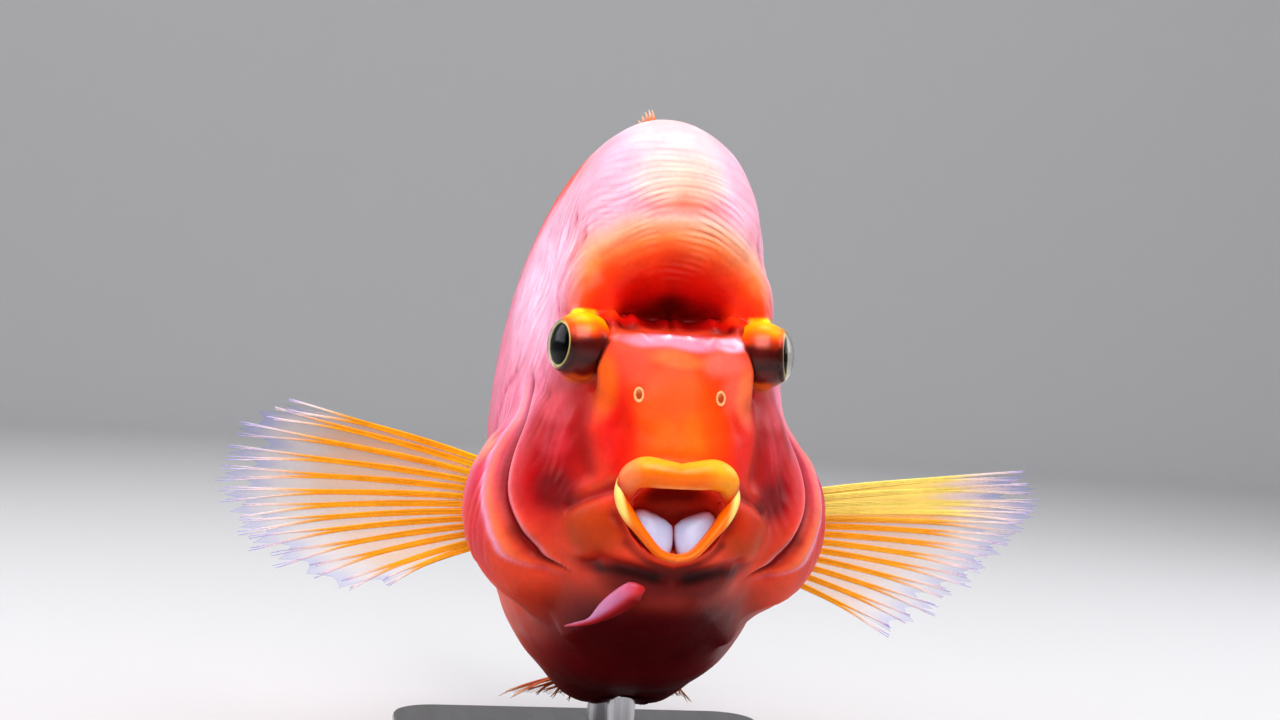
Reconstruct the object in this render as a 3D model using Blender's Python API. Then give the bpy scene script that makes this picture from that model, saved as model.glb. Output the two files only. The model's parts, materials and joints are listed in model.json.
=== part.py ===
"""A blood parrot cichlid as a still, life-size display model on a plain stand.

All sizes are in metres, with +Z up. The fish faces -Y and swims level. Its own sizes are measured
from the front of the mouth: +X is the fish's left, +Y runs back to the tail and +Z is up from the
height of the mouth. The origin of the model is the middle of the underside of the stand's base.
"""

import math

import bmesh
import bpy
import numpy as np
from mathutils import Matrix, Vector

MM = 0.001
GAP = 0.3 * MM  # kept between pieces that touch

# Where the fish is held over the stand
MOUTH_HEIGHT = 64 * MM
MIDDLE_BACK = 66 * MM  # the stand's middle lies this far behind the mouth

# The body's sections, front to back: place, top of the back, widest height, underside, half width
SECTIONS = np.array([
    (3, 9, 0, -8, 8.0),
    (8, 25, 5, -13, 12.5),
    (14, 40, 8, -19, 16.5),
    (22, 54, 9, -26, 20.5),
    (32, 64.5, 9, -33, 24),
    (45, 71, 8, -38, 27.5),
    (60, 72.5, 7, -40.5, 28.5),
    (80, 70.5, 8, -38, 26.5),
    (100, 62, 11, -30, 21),
    (120, 48, 15, -15, 13.5),
    (136, 36.5, 16, -3.5, 8.5),
    (150, 31, 16, 0.5, 5.5),
    (157, 31, 16, 1, 3.6),
    (161, 28, 16, 4, 1.8),
]) * MM
BACK_FULLNESS = 1.85  # 2 is an ellipse, and more is squarer
BELLY_FULLNESS = 2.5

# The ball that is pushed out to make the flesh
HEAD_CENTRE = np.array((0, 34, 27)) * MM
TAIL_CENTRE = np.array((0, 152, 16)) * MM
HEAD_SHARE = 0.5
TAIL_SHARE = 0.93
MOUTH_TILT = math.radians(42)
STEP = 1.5 * MM
STEPS = 76
HALVINGS = 14

AROUND, ALONG = 56, 50
FLAT_ENOUGH = 1.0  # neighbouring faces that turn by fewer degrees are made one

# The mouth's opening, and the two pads on its floor
MOUTH = np.array((0, 1.5, -1)) * MM
MOUTH_RADII = np.array((8.8, 9, 6.6)) * MM
PAD = np.array((2.2, 6.8, -3.2)) * MM
PAD_RADII = np.array((2.3, 3.4, 3.4)) * MM

# Eyes
EYE_CENTRE = np.array((16.2, 17, 27.9)) * MM
EYE_RADIUS = 6.0 * MM
EYE_AXIS = Vector((0.93, -0.35, 0.05)).normalized()
CORNEA_RISE = 0.5 * MM

# Nostrils: a low rim with a pit in it
NOSTRIL = np.array((7.2, 6.9, 20)) * MM
RIM_RADII, PIT_RADII = (1.3, 1.5, 1.7), (0.65, 2.2, 0.95)

# Gill covers, as two ovals seen from the side: centre and radii, back and up
COVER_OUTER = ((28, 1), (23.5, 25))
COVER_INNER = ((19, 3), (16, 21))
COVER_THICKNESS = 2.3 * MM
NAPE = 40 * MM  # the head ends here over and under the gill covers
TAIL_PARTING = 128 * MM

# Fins
MEMBRANE = 0.6 * MM
RAY_RIDGE = 0.75 * MM

# Pectoral fins, ray by ray from the top: where the tips are, out from the middle and up
RIGHT_ROOTS = ((24, 56.5, 3), (24, 60, -11))
LEFT_ROOTS = ((24, 56.5, -1), (24, 60, -13.5))
RIGHT_TIPS = [
    (70.4, 13.6), (75.5, 12), (79.5, 8), (81.5, 3), (82.3, -1.5), (82, -6), (80.8, -9.5),
    (78.5, -12.5), (75.5, -15.5), (70, -18.5), (64, -21), (57, -23.3), (48, -21.5),
]
LEFT_TIPS = [
    (84, 6.6), (86, 4), (87, 0.5), (86, -2), (84, -4.5), (81.5, -7), (79, -10),
    (76, -13), (73, -16), (69, -19), (65, -22), (61, -24.8), (56, -27),
]

RIGHT_SWEEP, LEFT_SWEEP = 0.42, -0.03  # how much a fin trails back for each step out

# Fins of the middle: place along the body, length of the ray, degrees up from straight back
DORSAL_RAYS = [
    (45, 9, 36), (60, 12, 20), (80, 14, 8), (95, 15, -5), (105, 17, -11), (114, 25, 3),
    (123, 32, 10), (131, 26, 1), (136, 16, -10),
]
ANAL_RAYS = [
    (98, 9, 6), (106, 13, -2), (114, 23, -22), (122, 32, -20), (130, 26, -9), (135, 15, 2),
]
DORSAL_COUNT, ANAL_COUNT, CAUDAL_COUNT = 22, 13, 15
CAUDAL_PLACE, CAUDAL_MIDDLE, CAUDAL_HALF = 154 * MM, 16 * MM, 12.5 * MM
CAUDAL_LENGTH, CAUDAL_SPREAD = 41 * MM, math.radians(26)
PELVIC_ROOTS = ((9.5, 57, -36.5), (5, 63, -38.5))
PELVIC_TIPS = [
    (19, 84, -46.5), (20.5, 93, -47.5), (18, 95, -47.5), (14.5, 92, -47), (11, 88, -46.5),
    (8, 83, -46),
]

# Stand
BASE_WIDTH, BASE_LENGTH, BASE_HEIGHT = 84 * MM, 124 * MM, 8 * MM
BASE_CORNER = 10 * MM
ROD_RADIUS = 2.75 * MM
ROD_PLACES = (54 * MM, 82 * MM)


def blend(first, second, reach):
    """Two forms joined, with the corner between them rounded over the reach."""
    share = np.clip(0.5 + 0.5 * (second - first) / reach, 0, 1)
    return second * (1 - share) + first * share - reach * share * (1 - share)


def ellipsoid(points, centre, radii, fullness=2):
    """How far each point lies outside an ellipsoid, or outside a squarer block."""
    radii = np.array(radii) * MM
    share = np.abs(points - np.array(centre) * MM) / radii + 1e-9
    ring = (share**fullness).sum(axis=1) ** (1 / fullness)
    steep = np.linalg.norm(share ** (fullness - 1) / radii, axis=1) * ring ** (1 - fullness)
    return (ring - 1) / steep


def strand(points, start, end, radius):
    """How far each point lies outside a round strand between two places."""
    start, end = np.array(start) * MM, np.array(end) * MM
    share = np.clip((points - start) @ (end - start) / ((end - start) @ (end - start)), 0, 1)
    return np.linalg.norm(points - start - share[:, None] * (end - start), axis=1) - radius * MM


def smooth_curve(knots, values, at):
    """A smooth curve through a few values, level past the end ones."""
    slopes = np.gradient(values, knots)
    at = np.clip(at, knots[0], knots[-1])
    cell = np.clip(np.searchsorted(knots, at) - 1, 0, len(knots) - 2)
    width = knots[cell + 1] - knots[cell]
    t = (at - knots[cell]) / width
    start = values[cell] * (1 + 2 * t) + slopes[cell] * width * t
    end = values[cell + 1] * (3 - 2 * t) - slopes[cell + 1] * width * (1 - t)
    return start * (1 - t) ** 2 + end * t**2


def trunk(points):
    """How far each point lies outside the plain body, from its sections."""
    place, *columns = SECTIONS.T
    top, widest, bottom, half_width = (
        smooth_curve(place, column, points[:, 1]) for column in columns
    )
    above = points[:, 2] > widest
    n = np.where(above, BACK_FULLNESS, BELLY_FULLNESS)
    half_height = np.where(above, top - widest, widest - bottom)
    across = np.abs(points[:, 0]) / half_width + 1e-9
    up = np.abs(points[:, 2] - widest) / half_height + 1e-9
    ring = (across**n + up**n) ** (1 / n)
    steep = np.hypot(across ** (n - 1) / half_width, up ** (n - 1) / half_height) * ring ** (1 - n)
    side = (ring - 1) / steep
    return np.maximum.reduce([side, place[0] - points[:, 1], points[:, 1] - place[-1]])


def cover_swelling(folded):
    """The rounded form of a gill cover, which swings out a little at its rear edge."""
    return ellipsoid(folded, (17, 38, -3), (16.8, 18, 19))


def oval_wall(folded, shape):
    """How far each point lies outside a wall that stands on an oval of the side view."""
    (y, z), (back, up) = shape
    across = (folded[:, 1] / MM - y) / back
    rise = (folded[:, 2] / MM - z) / up
    return (np.hypot(across, rise) - 1) * min(back, up) * MM


def body(points):
    """How far each point lies outside the flesh under the gill covers. Negative is inside."""
    folded = points * 1.0
    folded[:, 0] = np.abs(points[:, 0])
    leaning = folded - 0.22 * (folded[:, 2:] - 14 * MM) * np.array((0, 1, 0))
    rising = folded + 0.6 * (folded[:, 1:2] - 8 * MM) * np.array((0, 0, 1))

    def add(form, tool, reach):
        return blend(form, tool, reach * MM)

    def dig(form, tool, reach):
        return -blend(-form, tool, reach * MM)

    form = trunk(folded)
    form = add(form, ellipsoid(folded, (0, 36, 48), (18.6, 25, 23.2)), 5)  # hump of the nape
    form = add(form, ellipsoid(folded, (15, 26, 36), (4.5, 9, 8)), 4)  # brow beside the hollow
    form = dig(form, ellipsoid(rising, (0, 8, 38.5), (15, 16, 6)), 3)  # hollow under the hump
    form = add(form, ellipsoid(leaning, (0, 22, 14), (14.2, 17.5, 17.5), 3.2), 1.2)  # blunt face
    form = add(form, ellipsoid(leaning, (0, 17, 24.2), (15.2, 10.4, 6.7), 4), 2.5)  # between the eyes
    form = add(form, ellipsoid(folded, (11, 24.5, 12), (9.5, 13, 14)), 4)  # under the eye
    form = add(form, ellipsoid(folded, (15.5, 21, 28), (6.3, 8.5, 8.5)), 2)  # mound of the eye
    form = add(form, ellipsoid(folded, (14.5, 33, 1), (13.5, 16, 18)), 5)  # cheeks
    form = add(form, ellipsoid(folded, (9, 16.5, -3), (9, 10.5, 9.5)), 3)  # pads beside the mouth
    form = add(form, ellipsoid(folded, (0, 24, -12), (13, 18, 11)), 5)  # chin and throat
    form = add(form, ellipsoid(folded, (6, 65, -36.5), (6, 13, 6)), 6)  # root of the pelvic fins
    form = add(form, strand(folded, (4, 9.5, -12.5), (15, 27.5, -24), 2), 2)  # folds of the throat
    form = dig(form, strand(folded, (10.5, 3.5, 6.5), (20, 14.5, 1.5), 0.8), 2)  # fold of the cheek
    under_cover = np.maximum(cover_swelling(folded), oval_wall(folded, COVER_INNER) - 2.5 * MM)
    return add(form, under_cover, 2)


def covered(points):
    """How far each point lies outside the flesh with its gill covers on."""
    folded = points * 1.0
    folded[:, 0] = np.abs(points[:, 0])
    return blend(body(points), cover_swelling(folded), 3 * MM)


def rays(ball):
    """Where each point of a unit ball starts inside the fish, and the way it is pushed out."""
    share = np.arccos(np.clip(ball[:, 2], -1, 1)) / math.pi
    turn = np.arctan2(ball[:, 1], ball[:, 0])
    head = np.clip(share / HEAD_SHARE, 0, 1)
    along = np.clip((share - HEAD_SHARE) / (TAIL_SHARE - HEAD_SHARE), 0, 1)
    tail = np.clip((share - TAIL_SHARE) / (1 - TAIL_SHARE), 0, 1)
    start = HEAD_CENTRE + along[:, None] * (TAIL_CENTRE - HEAD_CENTRE)
    fan = (head + tail) * math.pi / 2
    tilt = MOUTH_TILT * (1 - head)
    nose = np.stack([0 * tilt, -np.cos(tilt), -np.sin(tilt)], axis=1)
    upright = np.stack([0 * tilt, -np.sin(tilt), np.cos(tilt)], axis=1)
    side = np.cos(turn)[:, None] * np.array((1.0, 0, 0)) + np.sin(turn)[:, None] * upright
    return start, np.cos(fan)[:, None] * nose + np.sin(fan)[:, None] * side


def pushed_out(ball, form, swell):
    """Each point of the ball, moved out to where it first leaves the form, and swell further."""
    start, way = rays(ball)
    inner = np.zeros(len(ball))
    inside = np.ones(len(ball), bool)
    for _ in range(STEPS):
        ahead = start + (inner + STEP)[:, None] * way
        inside[inside] = form(ahead[inside]) < swell
        inner[inside] += STEP
    outer = inner + STEP
    for _ in range(HALVINGS):
        middle = (inner + outer) / 2
        outside = form(start + middle[:, None] * way) >= swell
        outer = np.where(outside, middle, outer)
        inner = np.where(outside, inner, middle)
    return start + inner[:, None] * way


def flesh_ball(form, swell=0.0):
    """The flesh as one closed mesh: a ball whose points are pushed out to the form."""
    bm = bmesh.new()
    bmesh.ops.create_uvsphere(bm, u_segments=AROUND, v_segments=ALONG, radius=1.0)
    places = pushed_out(np.array([v.co for v in bm.verts]), form, swell)
    for vert, place in zip(bm.verts, places):
        vert.co = place
    bmesh.ops.triangulate(bm, faces=bm.faces, quad_method="FIXED")
    bmesh.ops.recalc_face_normals(bm, faces=bm.faces)
    return bm


def add_object(bm, name):
    mesh = bpy.data.meshes.new(name)
    bm.to_mesh(mesh)
    bm.free()
    obj = bpy.data.objects.new(name, mesh)
    bpy.context.scene.collection.objects.link(obj)
    return obj


def largest_piece(bm):
    """Deletes all but the closed piece with the most volume."""
    pieces, seen = [], set()
    for first in bm.faces:
        if first in seen:
            continue
        piece, edge = {first}, [first]
        while edge:
            for beside in (other for e in edge.pop().edges for other in e.link_faces):
                if beside not in piece:
                    piece.add(beside)
                    edge.append(beside)
        seen |= piece
        pieces.append(piece)

    def volume(piece):
        return abs(sum(f.calc_center_median().dot(f.normal) * f.calc_area() for f in piece))

    main = max(pieces, key=volume)
    bmesh.ops.delete(bm, geom=[f for f in bm.faces if f not in main], context="FACES")
    return bm


def combined(first, second, operation):
    """The first solid joined with the second, cut by it, or just the part that both share."""
    pair = [add_object(first, "first"), add_object(second.copy(), "second")]
    modifier = pair[0].modifiers.new("cut", "BOOLEAN")
    modifier.operation = operation
    modifier.solver = "EXACT"
    modifier.object = pair[1]
    result = bmesh.new()
    result.from_object(pair[0], bpy.context.evaluated_depsgraph_get())
    for obj in pair:
        bpy.data.meshes.remove(obj.data)
    bmesh.ops.remove_doubles(result, verts=result.verts, dist=0.0005 * MM)
    bmesh.ops.dissolve_degenerate(result, edges=result.edges, dist=0.0005 * MM)
    bmesh.ops.triangulate(result, faces=result.faces)
    return result


def block(outline, start, end):
    """A prism along X over an outline of (back, up) places."""
    bm = bmesh.new()
    ring = [bm.verts.new((start, y, z)) for y, z in outline]
    face = bm.faces.new(ring)
    ends = bmesh.ops.extrude_face_region(bm, geom=[face])["geom"]
    moved = [item for item in ends if isinstance(item, bmesh.types.BMVert)]
    bmesh.ops.translate(bm, verts=moved, vec=(end - start, 0, 0))
    bmesh.ops.triangulate(bm, faces=bm.faces)
    bmesh.ops.recalc_face_normals(bm, faces=bm.faces)
    return bm


def oval(shape, angles, grown=0.0):
    (y, z), (back, up) = shape
    return [
        (y * MM + (back * MM + grown) * math.cos(a), z * MM + (up * MM + grown) * math.sin(a))
        for a in np.radians(angles)
    ]


def cover_outline(grown=0.0):
    """The gill cover seen from the side, as (back, up) places."""
    past = 1.6 if grown else 0
    rear = oval(COVER_OUTER, np.linspace(-112 - past, 78 + past, 21), grown)
    return rear + oval(COVER_INNER, np.linspace(66 + past, -100 - past, 17), -grown)


def parting(shift):
    """The line between head and body seen from the side, moved back by the shift."""
    (y, z), (back, up) = COVER_OUTER
    ups = np.concatenate([[-80], np.linspace(-25, 27, 19), [110]])
    reach = np.sqrt(np.clip(1 - ((ups - z) / (up + 0.8)) ** 2, 0, 1)) * (back + 0.9)
    return [(max(NAPE, (y + r) * MM) + shift, u * MM) for u, r in zip(ups, reach)]


def between(front, rear):
    """A wide block between two lines of (back, up) places that both run upwards."""
    return block(front + rear[::-1], -70 * MM, 70 * MM)


def straight(place):
    return [(place, -80 * MM), (place, 110 * MM)]


def rounded(rows, lengths):
    """A tube through rings: each row is centre, half width along and half width across."""
    bm = bmesh.new()
    loops = []
    for row in rows:
        made = bmesh.ops.create_circle(bm, segments=lengths, radius=1.0)["verts"]
        for vert in made:
            vert.co = row @ vert.co
        loops.append(made)
    caps = (loops[0], loops[-1])
    edges = [edge for edge in bm.edges]
    bmesh.ops.bridge_loops(bm, edges=edges)
    for cap in caps:
        bm.faces.new(cap)
    bmesh.ops.triangulate(bm, faces=bm.faces)
    bmesh.ops.recalc_face_normals(bm, faces=bm.faces)
    return bm


def lip(line, sides=12, steps=6):
    """A lip along one half of its line, from its corner to the middle, then mirrored.

    Each point of the line is aside, back, up, half height and half depth.
    """
    line = np.array(line, float) * MM
    half = np.linspace(0, 1, len(line))
    at = np.linspace(0, 1, steps + 1)
    right = np.stack([smooth_curve(half, column, at) for column in line.T], axis=1)
    left = right[-2::-1] * np.array((-1, 1, 1, 1, 1))
    whole = np.concatenate([right, left])
    rows = []
    for index, (x, y, z, high, deep) in enumerate(whole):
        before, after = whole[max(index - 1, 0)], whole[min(index + 1, len(whole) - 1)]
        way = Vector((after - before)[:3]).normalized()
        back = Vector((0, 1, 0))
        up = way.cross(back).normalized()
        back = up.cross(way).normalized()
        matrix = Matrix((up * high, back * deep, way)).transposed().to_4x4()
        rows.append(Matrix.Translation((x, y, z)) @ matrix)
    return rounded(rows, sides)


def fin(roots, tips, rows, bow=(0, 0, 0), scallop=0.06):
    """A thin fin over its rays, which stand up as ridges in both of its faces.

    Roots and tips are one place for each ray, and the rays bend by the bow halfway along.
    """
    roots, tips, bow = np.array(roots), np.array(tips), np.array(bow) * MM
    columns = 2 * (len(roots) - 1)
    bm = bmesh.new()
    bmesh.ops.create_grid(bm, x_segments=columns, y_segments=rows, size=1.0)
    bmesh.ops.triangulate(bm, faces=bm.faces, quad_method="FIXED")
    twin = bmesh.ops.duplicate(bm, geom=bm.verts[:] + bm.edges[:] + bm.faces[:])["geom"]
    bmesh.ops.translate(
        bm, verts=[item for item in twin if isinstance(item, bmesh.types.BMVert)], vec=(0, 0, -1)
    )
    turned = [item for item in twin if isinstance(item, bmesh.types.BMFace)]
    bmesh.ops.reverse_faces(bm, faces=turned)
    bmesh.ops.bridge_loops(bm, edges=[edge for edge in bm.edges if edge.is_boundary])
    grid = np.array([v.co for v in bm.verts])
    across, along = (grid[:, 0] + 1) / 2 * columns, (grid[:, 1] + 1) / 2
    on_ray = np.abs(np.round(across) % 2 - 1)

    def place(across, along):
        knots = np.arange(len(roots)) * 2
        root, tip = (
            np.stack([np.interp(across, knots, line) for line in ends.T], axis=1)
            for ends in (roots, tips)
        )
        along = along[:, None]
        return root + (tip - root) * along + bow * 4 * along * (1 - along)

    step = 0.01
    inner, low = np.clip(across, step, columns - step), np.clip(along, step, 1 - step)
    normal = np.cross(
        place(inner + step, low) - place(inner - step, low),
        place(inner, low + step) - place(inner, low - step),
    )
    normal /= np.linalg.norm(normal, axis=1)[:, None]
    half = MEMBRANE / 2 * (1 - 0.25 * along) + RAY_RIDGE / 2 * on_ray * (1 - 0.85 * along)
    side = np.where(grid[:, 2] < -0.5, -1, 1)
    places = place(across, along * (1 - scallop * (1 - on_ray))) + normal * (half * side)[:, None]
    for vert, spot in zip(bm.verts, places):
        vert.co = spot
    bmesh.ops.triangulate(bm, faces=bm.faces)
    bmesh.ops.recalc_face_normals(bm, faces=bm.faces)
    return bm


def middle_fin(table, count, line, sunk):
    """A fin along the back or the belly, from its table of rays."""
    table = np.array(table, float)
    at = np.linspace(table[0, 0], table[-1, 0], count)
    length = smooth_curve(table[:, 0], table[:, 1], at)
    angle = np.radians(smooth_curve(table[:, 0], table[:, 2], at))
    up = smooth_curve(SECTIONS[:, 0], SECTIONS[:, line], at * MM)
    root = np.stack([0 * at, at * MM, up + sunk], axis=1)
    way = np.stack([0 * at, np.cos(angle), np.sin(angle)], axis=1)
    tip = root + (length * MM + abs(sunk))[:, None] * way
    return root, tip


def paired_fin(side, roots, tips):
    """Rays between two root places and a table of tips, on the left for side 1."""
    roots, tips = np.array(roots) * MM, np.array(tips) * MM
    share = np.linspace(0, 1, len(tips))[:, None]
    turn = np.array((side, 1, 1))
    return (roots[0] * (1 - share) + roots[1] * share) * turn, tips * turn


def eye_ball(side):
    """An eye: a ball with the clear front of the eye bulging from it."""
    bm = bmesh.new()
    bmesh.ops.create_uvsphere(bm, u_segments=20, v_segments=12, radius=EYE_RADIUS)
    for vert in bm.verts:
        turn = math.degrees(vert.co.angle(Vector((0, 0, 1))))
        bulge = max(0.0, 1 - (turn / 48) ** 2)
        vert.co += vert.co.normalized() * CORNEA_RISE * bulge
    axis = Vector((EYE_AXIS.x * side, EYE_AXIS.y, EYE_AXIS.z))
    bmesh.ops.rotate(bm, verts=bm.verts, matrix=axis.to_track_quat("Z", "Y").to_matrix())
    bmesh.ops.translate(bm, verts=bm.verts, vec=EYE_CENTRE * np.array((side, 1, 1)))
    bmesh.ops.triangulate(bm, faces=bm.faces)
    bmesh.ops.recalc_face_normals(bm, faces=bm.faces)
    return bm


def ball(centre, radii, segments=20):
    bm = bmesh.new()
    bmesh.ops.create_uvsphere(bm, u_segments=segments, v_segments=segments * 3 // 5, radius=1.0)
    bmesh.ops.scale(bm, verts=bm.verts, vec=radii)
    bmesh.ops.translate(bm, verts=bm.verts, vec=centre)
    bmesh.ops.triangulate(bm, faces=bm.faces)
    return bm


def stand_base():
    """The flat plate of the stand, with round corners and a softened upper edge."""
    bm = bmesh.new()
    bmesh.ops.create_cube(bm, size=1.0)
    bmesh.ops.scale(bm, verts=bm.verts, vec=(BASE_WIDTH, BASE_LENGTH, BASE_HEIGHT))
    bmesh.ops.translate(bm, verts=bm.verts, vec=(0, 0, BASE_HEIGHT / 2))
    upright = [e for e in bm.edges if abs(e.verts[0].co.z - e.verts[1].co.z) > BASE_HEIGHT / 2]
    bevel = {"profile": 0.5, "affect": "EDGES", "material": -1}
    bmesh.ops.bevel(bm, geom=upright, offset=BASE_CORNER, segments=8, **bevel)
    top = [e for e in bm.edges if all(v.co.z > BASE_HEIGHT * 0.99 for v in e.verts)]
    bmesh.ops.bevel(bm, geom=top, offset=1.2 * MM, segments=3, **bevel)
    return bm


def rod(place):
    """One rod, from the top of the stand's plate to inside the belly."""
    bm = bmesh.new()
    foot, head = BASE_HEIGHT + GAP - MOUTH_HEIGHT, -20 * MM
    bmesh.ops.create_cone(
        bm, cap_ends=True, segments=28, radius1=ROD_RADIUS, radius2=ROD_RADIUS, depth=head - foot
    )
    bmesh.ops.translate(bm, verts=bm.verts, vec=(0, place, (foot + head) / 2))
    bmesh.ops.triangulate(bm, faces=bm.faces)
    return bm


def finish(name, rgb, roughness, metallic=0.0):
    material = bpy.data.materials.new(name)
    material.use_nodes = True
    shader = material.node_tree.nodes["Principled BSDF"]
    shader.inputs["Base Color"].default_value = (*rgb, 1.0)
    shader.inputs["Roughness"].default_value = roughness
    shader.inputs["Metallic"].default_value = metallic
    material.diffuse_color = (*rgb, 1.0)
    return material


def show(bm, name, material, held=True):
    """Puts a finished solid in the scene, over the stand if it is a part of the fish."""
    largest_piece(bm)
    flat = math.radians(FLAT_ENOUGH)
    bmesh.ops.dissolve_limit(bm, angle_limit=flat, verts=bm.verts, edges=bm.edges)
    bmesh.ops.triangulate(bm, faces=bm.faces)
    if held:
        bmesh.ops.translate(bm, verts=bm.verts, vec=(0, -MIDDLE_BACK, MOUTH_HEIGHT))
    obj = add_object(bm, name)
    obj.data.materials.append(material)
    return obj


def build_flesh(skin, plain, outer):
    """Head, body, tail stalk and gill covers, parted from the whole flesh."""
    deeper = flesh_ball(covered, -COVER_THICKNESS)
    seat_floor = flesh_ball(covered, -COVER_THICKNESS - GAP)
    for side, word in ((1, "left"), (-1, "right")):
        inner, far = side * 9 * MM, side * 60 * MM
        seat = block(cover_outline(GAP), inner - side * GAP, far)
        seat = combined(seat, seat_floor, "DIFFERENCE")
        plain = combined(plain, seat, "DIFFERENCE")
        plate = combined(block(cover_outline(), inner, far), outer, "INTERSECT")
        plate = combined(plate, deeper, "DIFFERENCE")
        show(plate, "gill_cover_" + word, skin)
    front = between(straight(-30 * MM), parting(-GAP / 2))
    middle = between(parting(GAP / 2), straight(TAIL_PARTING - GAP / 2))
    rear = between(straight(TAIL_PARTING + GAP / 2), straight(190 * MM))
    head = combined(front, plain, "INTERSECT")
    head = combined(head, ball(MOUTH, MOUTH_RADII, 24), "DIFFERENCE")
    for side in (1, -1):
        turn = np.array((side, 1, 1))
        head = combined(head, ball(EYE_CENTRE * turn, [EYE_RADIUS + GAP] * 3), "DIFFERENCE")
        head = combined(head, ball(NOSTRIL * turn, np.array(RIM_RADII) * MM, 12), "UNION")
        head = combined(head, ball(NOSTRIL * turn, np.array(PIT_RADII) * MM, 10), "DIFFERENCE")
    show(head, "head", skin)
    show(combined(middle, plain, "INTERSECT"), "torso", skin)
    show(combined(rear, plain, "INTERSECT"), "tail_stalk", skin)


def main():
    for obj in list(bpy.data.objects):
        bpy.data.objects.remove(obj)
    skin = finish("skin", (0.85, 0.16, 0.05), 0.4)
    lips = finish("lips", (0.9, 0.36, 0.04), 0.35)
    pale = finish("mouth", (0.75, 0.6, 0.72), 0.45)
    eye = finish("eye", (0.62, 0.26, 0.02), 0.15)
    web = finish("fin", (0.9, 0.5, 0.12), 0.4)
    wood = finish("stand_plate", (0.035, 0.03, 0.03), 0.45)
    steel = finish("stand_steel", (0.5, 0.5, 0.52), 0.3, 1.0)

    plain = flesh_ball(body)
    outer = flesh_ball(covered)
    clear = flesh_ball(body, GAP)  # the flesh and the gap around it
    clear_outer = flesh_ball(covered, GAP)
    build_flesh(skin, plain, outer)

    def on_flesh(bm):
        return combined(bm, clear, "DIFFERENCE")

    upper = lip([(9.4, 5, 3.7, 1.4, 1.6), (9.2, 3.7, 5.6, 2.1, 2.3), (6.6, 2.6, 6.9, 2.7, 2.8),
                 (3.3, 2, 6.8, 2.6, 2.8), (0, 1.8, 6.5, 2.3, 2.7)])
    lower = lip([(9.8, 5, 1.5, 1.5, 1.9), (8.9, 4.2, -0.5, 1.5, 2), (6.2, 3, -3.6, 1.3, 1.9),
                 (3, 2.3, -6.4, 1.15, 1.8), (0, 2.1, -7.3, 1.05, 1.8)])
    cavity = ball(MOUTH, MOUTH_RADII - GAP, 24)
    open_flesh = combined(clear.copy(), cavity, "DIFFERENCE")
    show(combined(upper, open_flesh, "DIFFERENCE"), "upper_lip", lips)
    show(combined(lower, open_flesh, "DIFFERENCE"), "lower_lip", lips)
    pads = combined(ball(PAD, PAD_RADII, 14), ball(PAD * (-1, 1, 1), PAD_RADII, 14), "UNION")
    show(combined(pads, cavity, "INTERSECT"), "mouth_floor", pale)
    sides = {
        "left": (LEFT_ROOTS, LEFT_TIPS, LEFT_SWEEP),
        "right": (RIGHT_ROOTS, RIGHT_TIPS, RIGHT_SWEEP),
    }
    for side, word in ((1, "left"), (-1, "right")):
        show(eye_ball(side), "eye_" + word, eye)
        roots, tips, swept = sides[word]
        tips = [(x, 57 + swept * (x - 28), z) for x, z in tips]
        pectoral = fin(*paired_fin(side, roots, tips), rows=6, bow=(0, 2.5, 0))
        show(on_flesh(pectoral), "pectoral_fin_" + word, web)
        pelvic = fin(*paired_fin(side, PELVIC_ROOTS, PELVIC_TIPS), rows=5, bow=(0, 0, 0.8))
        show(on_flesh(pelvic), "pelvic_fin_" + word, web)
    dorsal = fin(*middle_fin(DORSAL_RAYS, DORSAL_COUNT, 1, -2.5 * MM), rows=4, scallop=0.12)
    anal = fin(*middle_fin(ANAL_RAYS, ANAL_COUNT, 3, 2.5 * MM), rows=4, scallop=0.12)
    show(on_flesh(dorsal), "dorsal_fin", web)
    show(on_flesh(anal), "anal_fin", web)
    share = np.linspace(-1, 1, CAUDAL_COUNT)
    root = np.stack([0 * share, 0 * share + CAUDAL_PLACE, CAUDAL_MIDDLE + CAUDAL_HALF * share], 1)
    way = np.stack([0 * share, np.cos(CAUDAL_SPREAD * share), np.sin(CAUDAL_SPREAD * share)], 1)
    tail = fin(root, root + way * (CAUDAL_LENGTH - 3 * MM * share**2)[:, None], rows=5)
    show(on_flesh(tail), "tail_fin", web)
    for place, word in zip(ROD_PLACES, ("front", "rear")):
        show(combined(rod(place), clear_outer, "DIFFERENCE"), "stand_rod_" + word, steel)
    show(stand_base(), "stand_base", wood, held=False)


main()
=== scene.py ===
"""The looks of a life-size blood parrot cichlid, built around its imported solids.

Sizes are in millimetres in the fish's own frame: +X is the fish's left, +Y runs back from the front
of the mouth and +Z is up from the height of the mouth. to_world() turns them into metres in the
frame of the solids.
"""

import json  # noqa: E402
import logging  # noqa: E402
import math  # noqa: E402
from dataclasses import dataclass, field  # noqa: E402
from enum import Enum  # noqa: E402
from typing import Callable, Sequence  # noqa: E402

import bmesh  # noqa: E402
import bpy  # noqa: E402
import numpy as np  # noqa: E402
from mathutils import Matrix, Quaternion, Vector, noise  # noqa: E402

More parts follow.
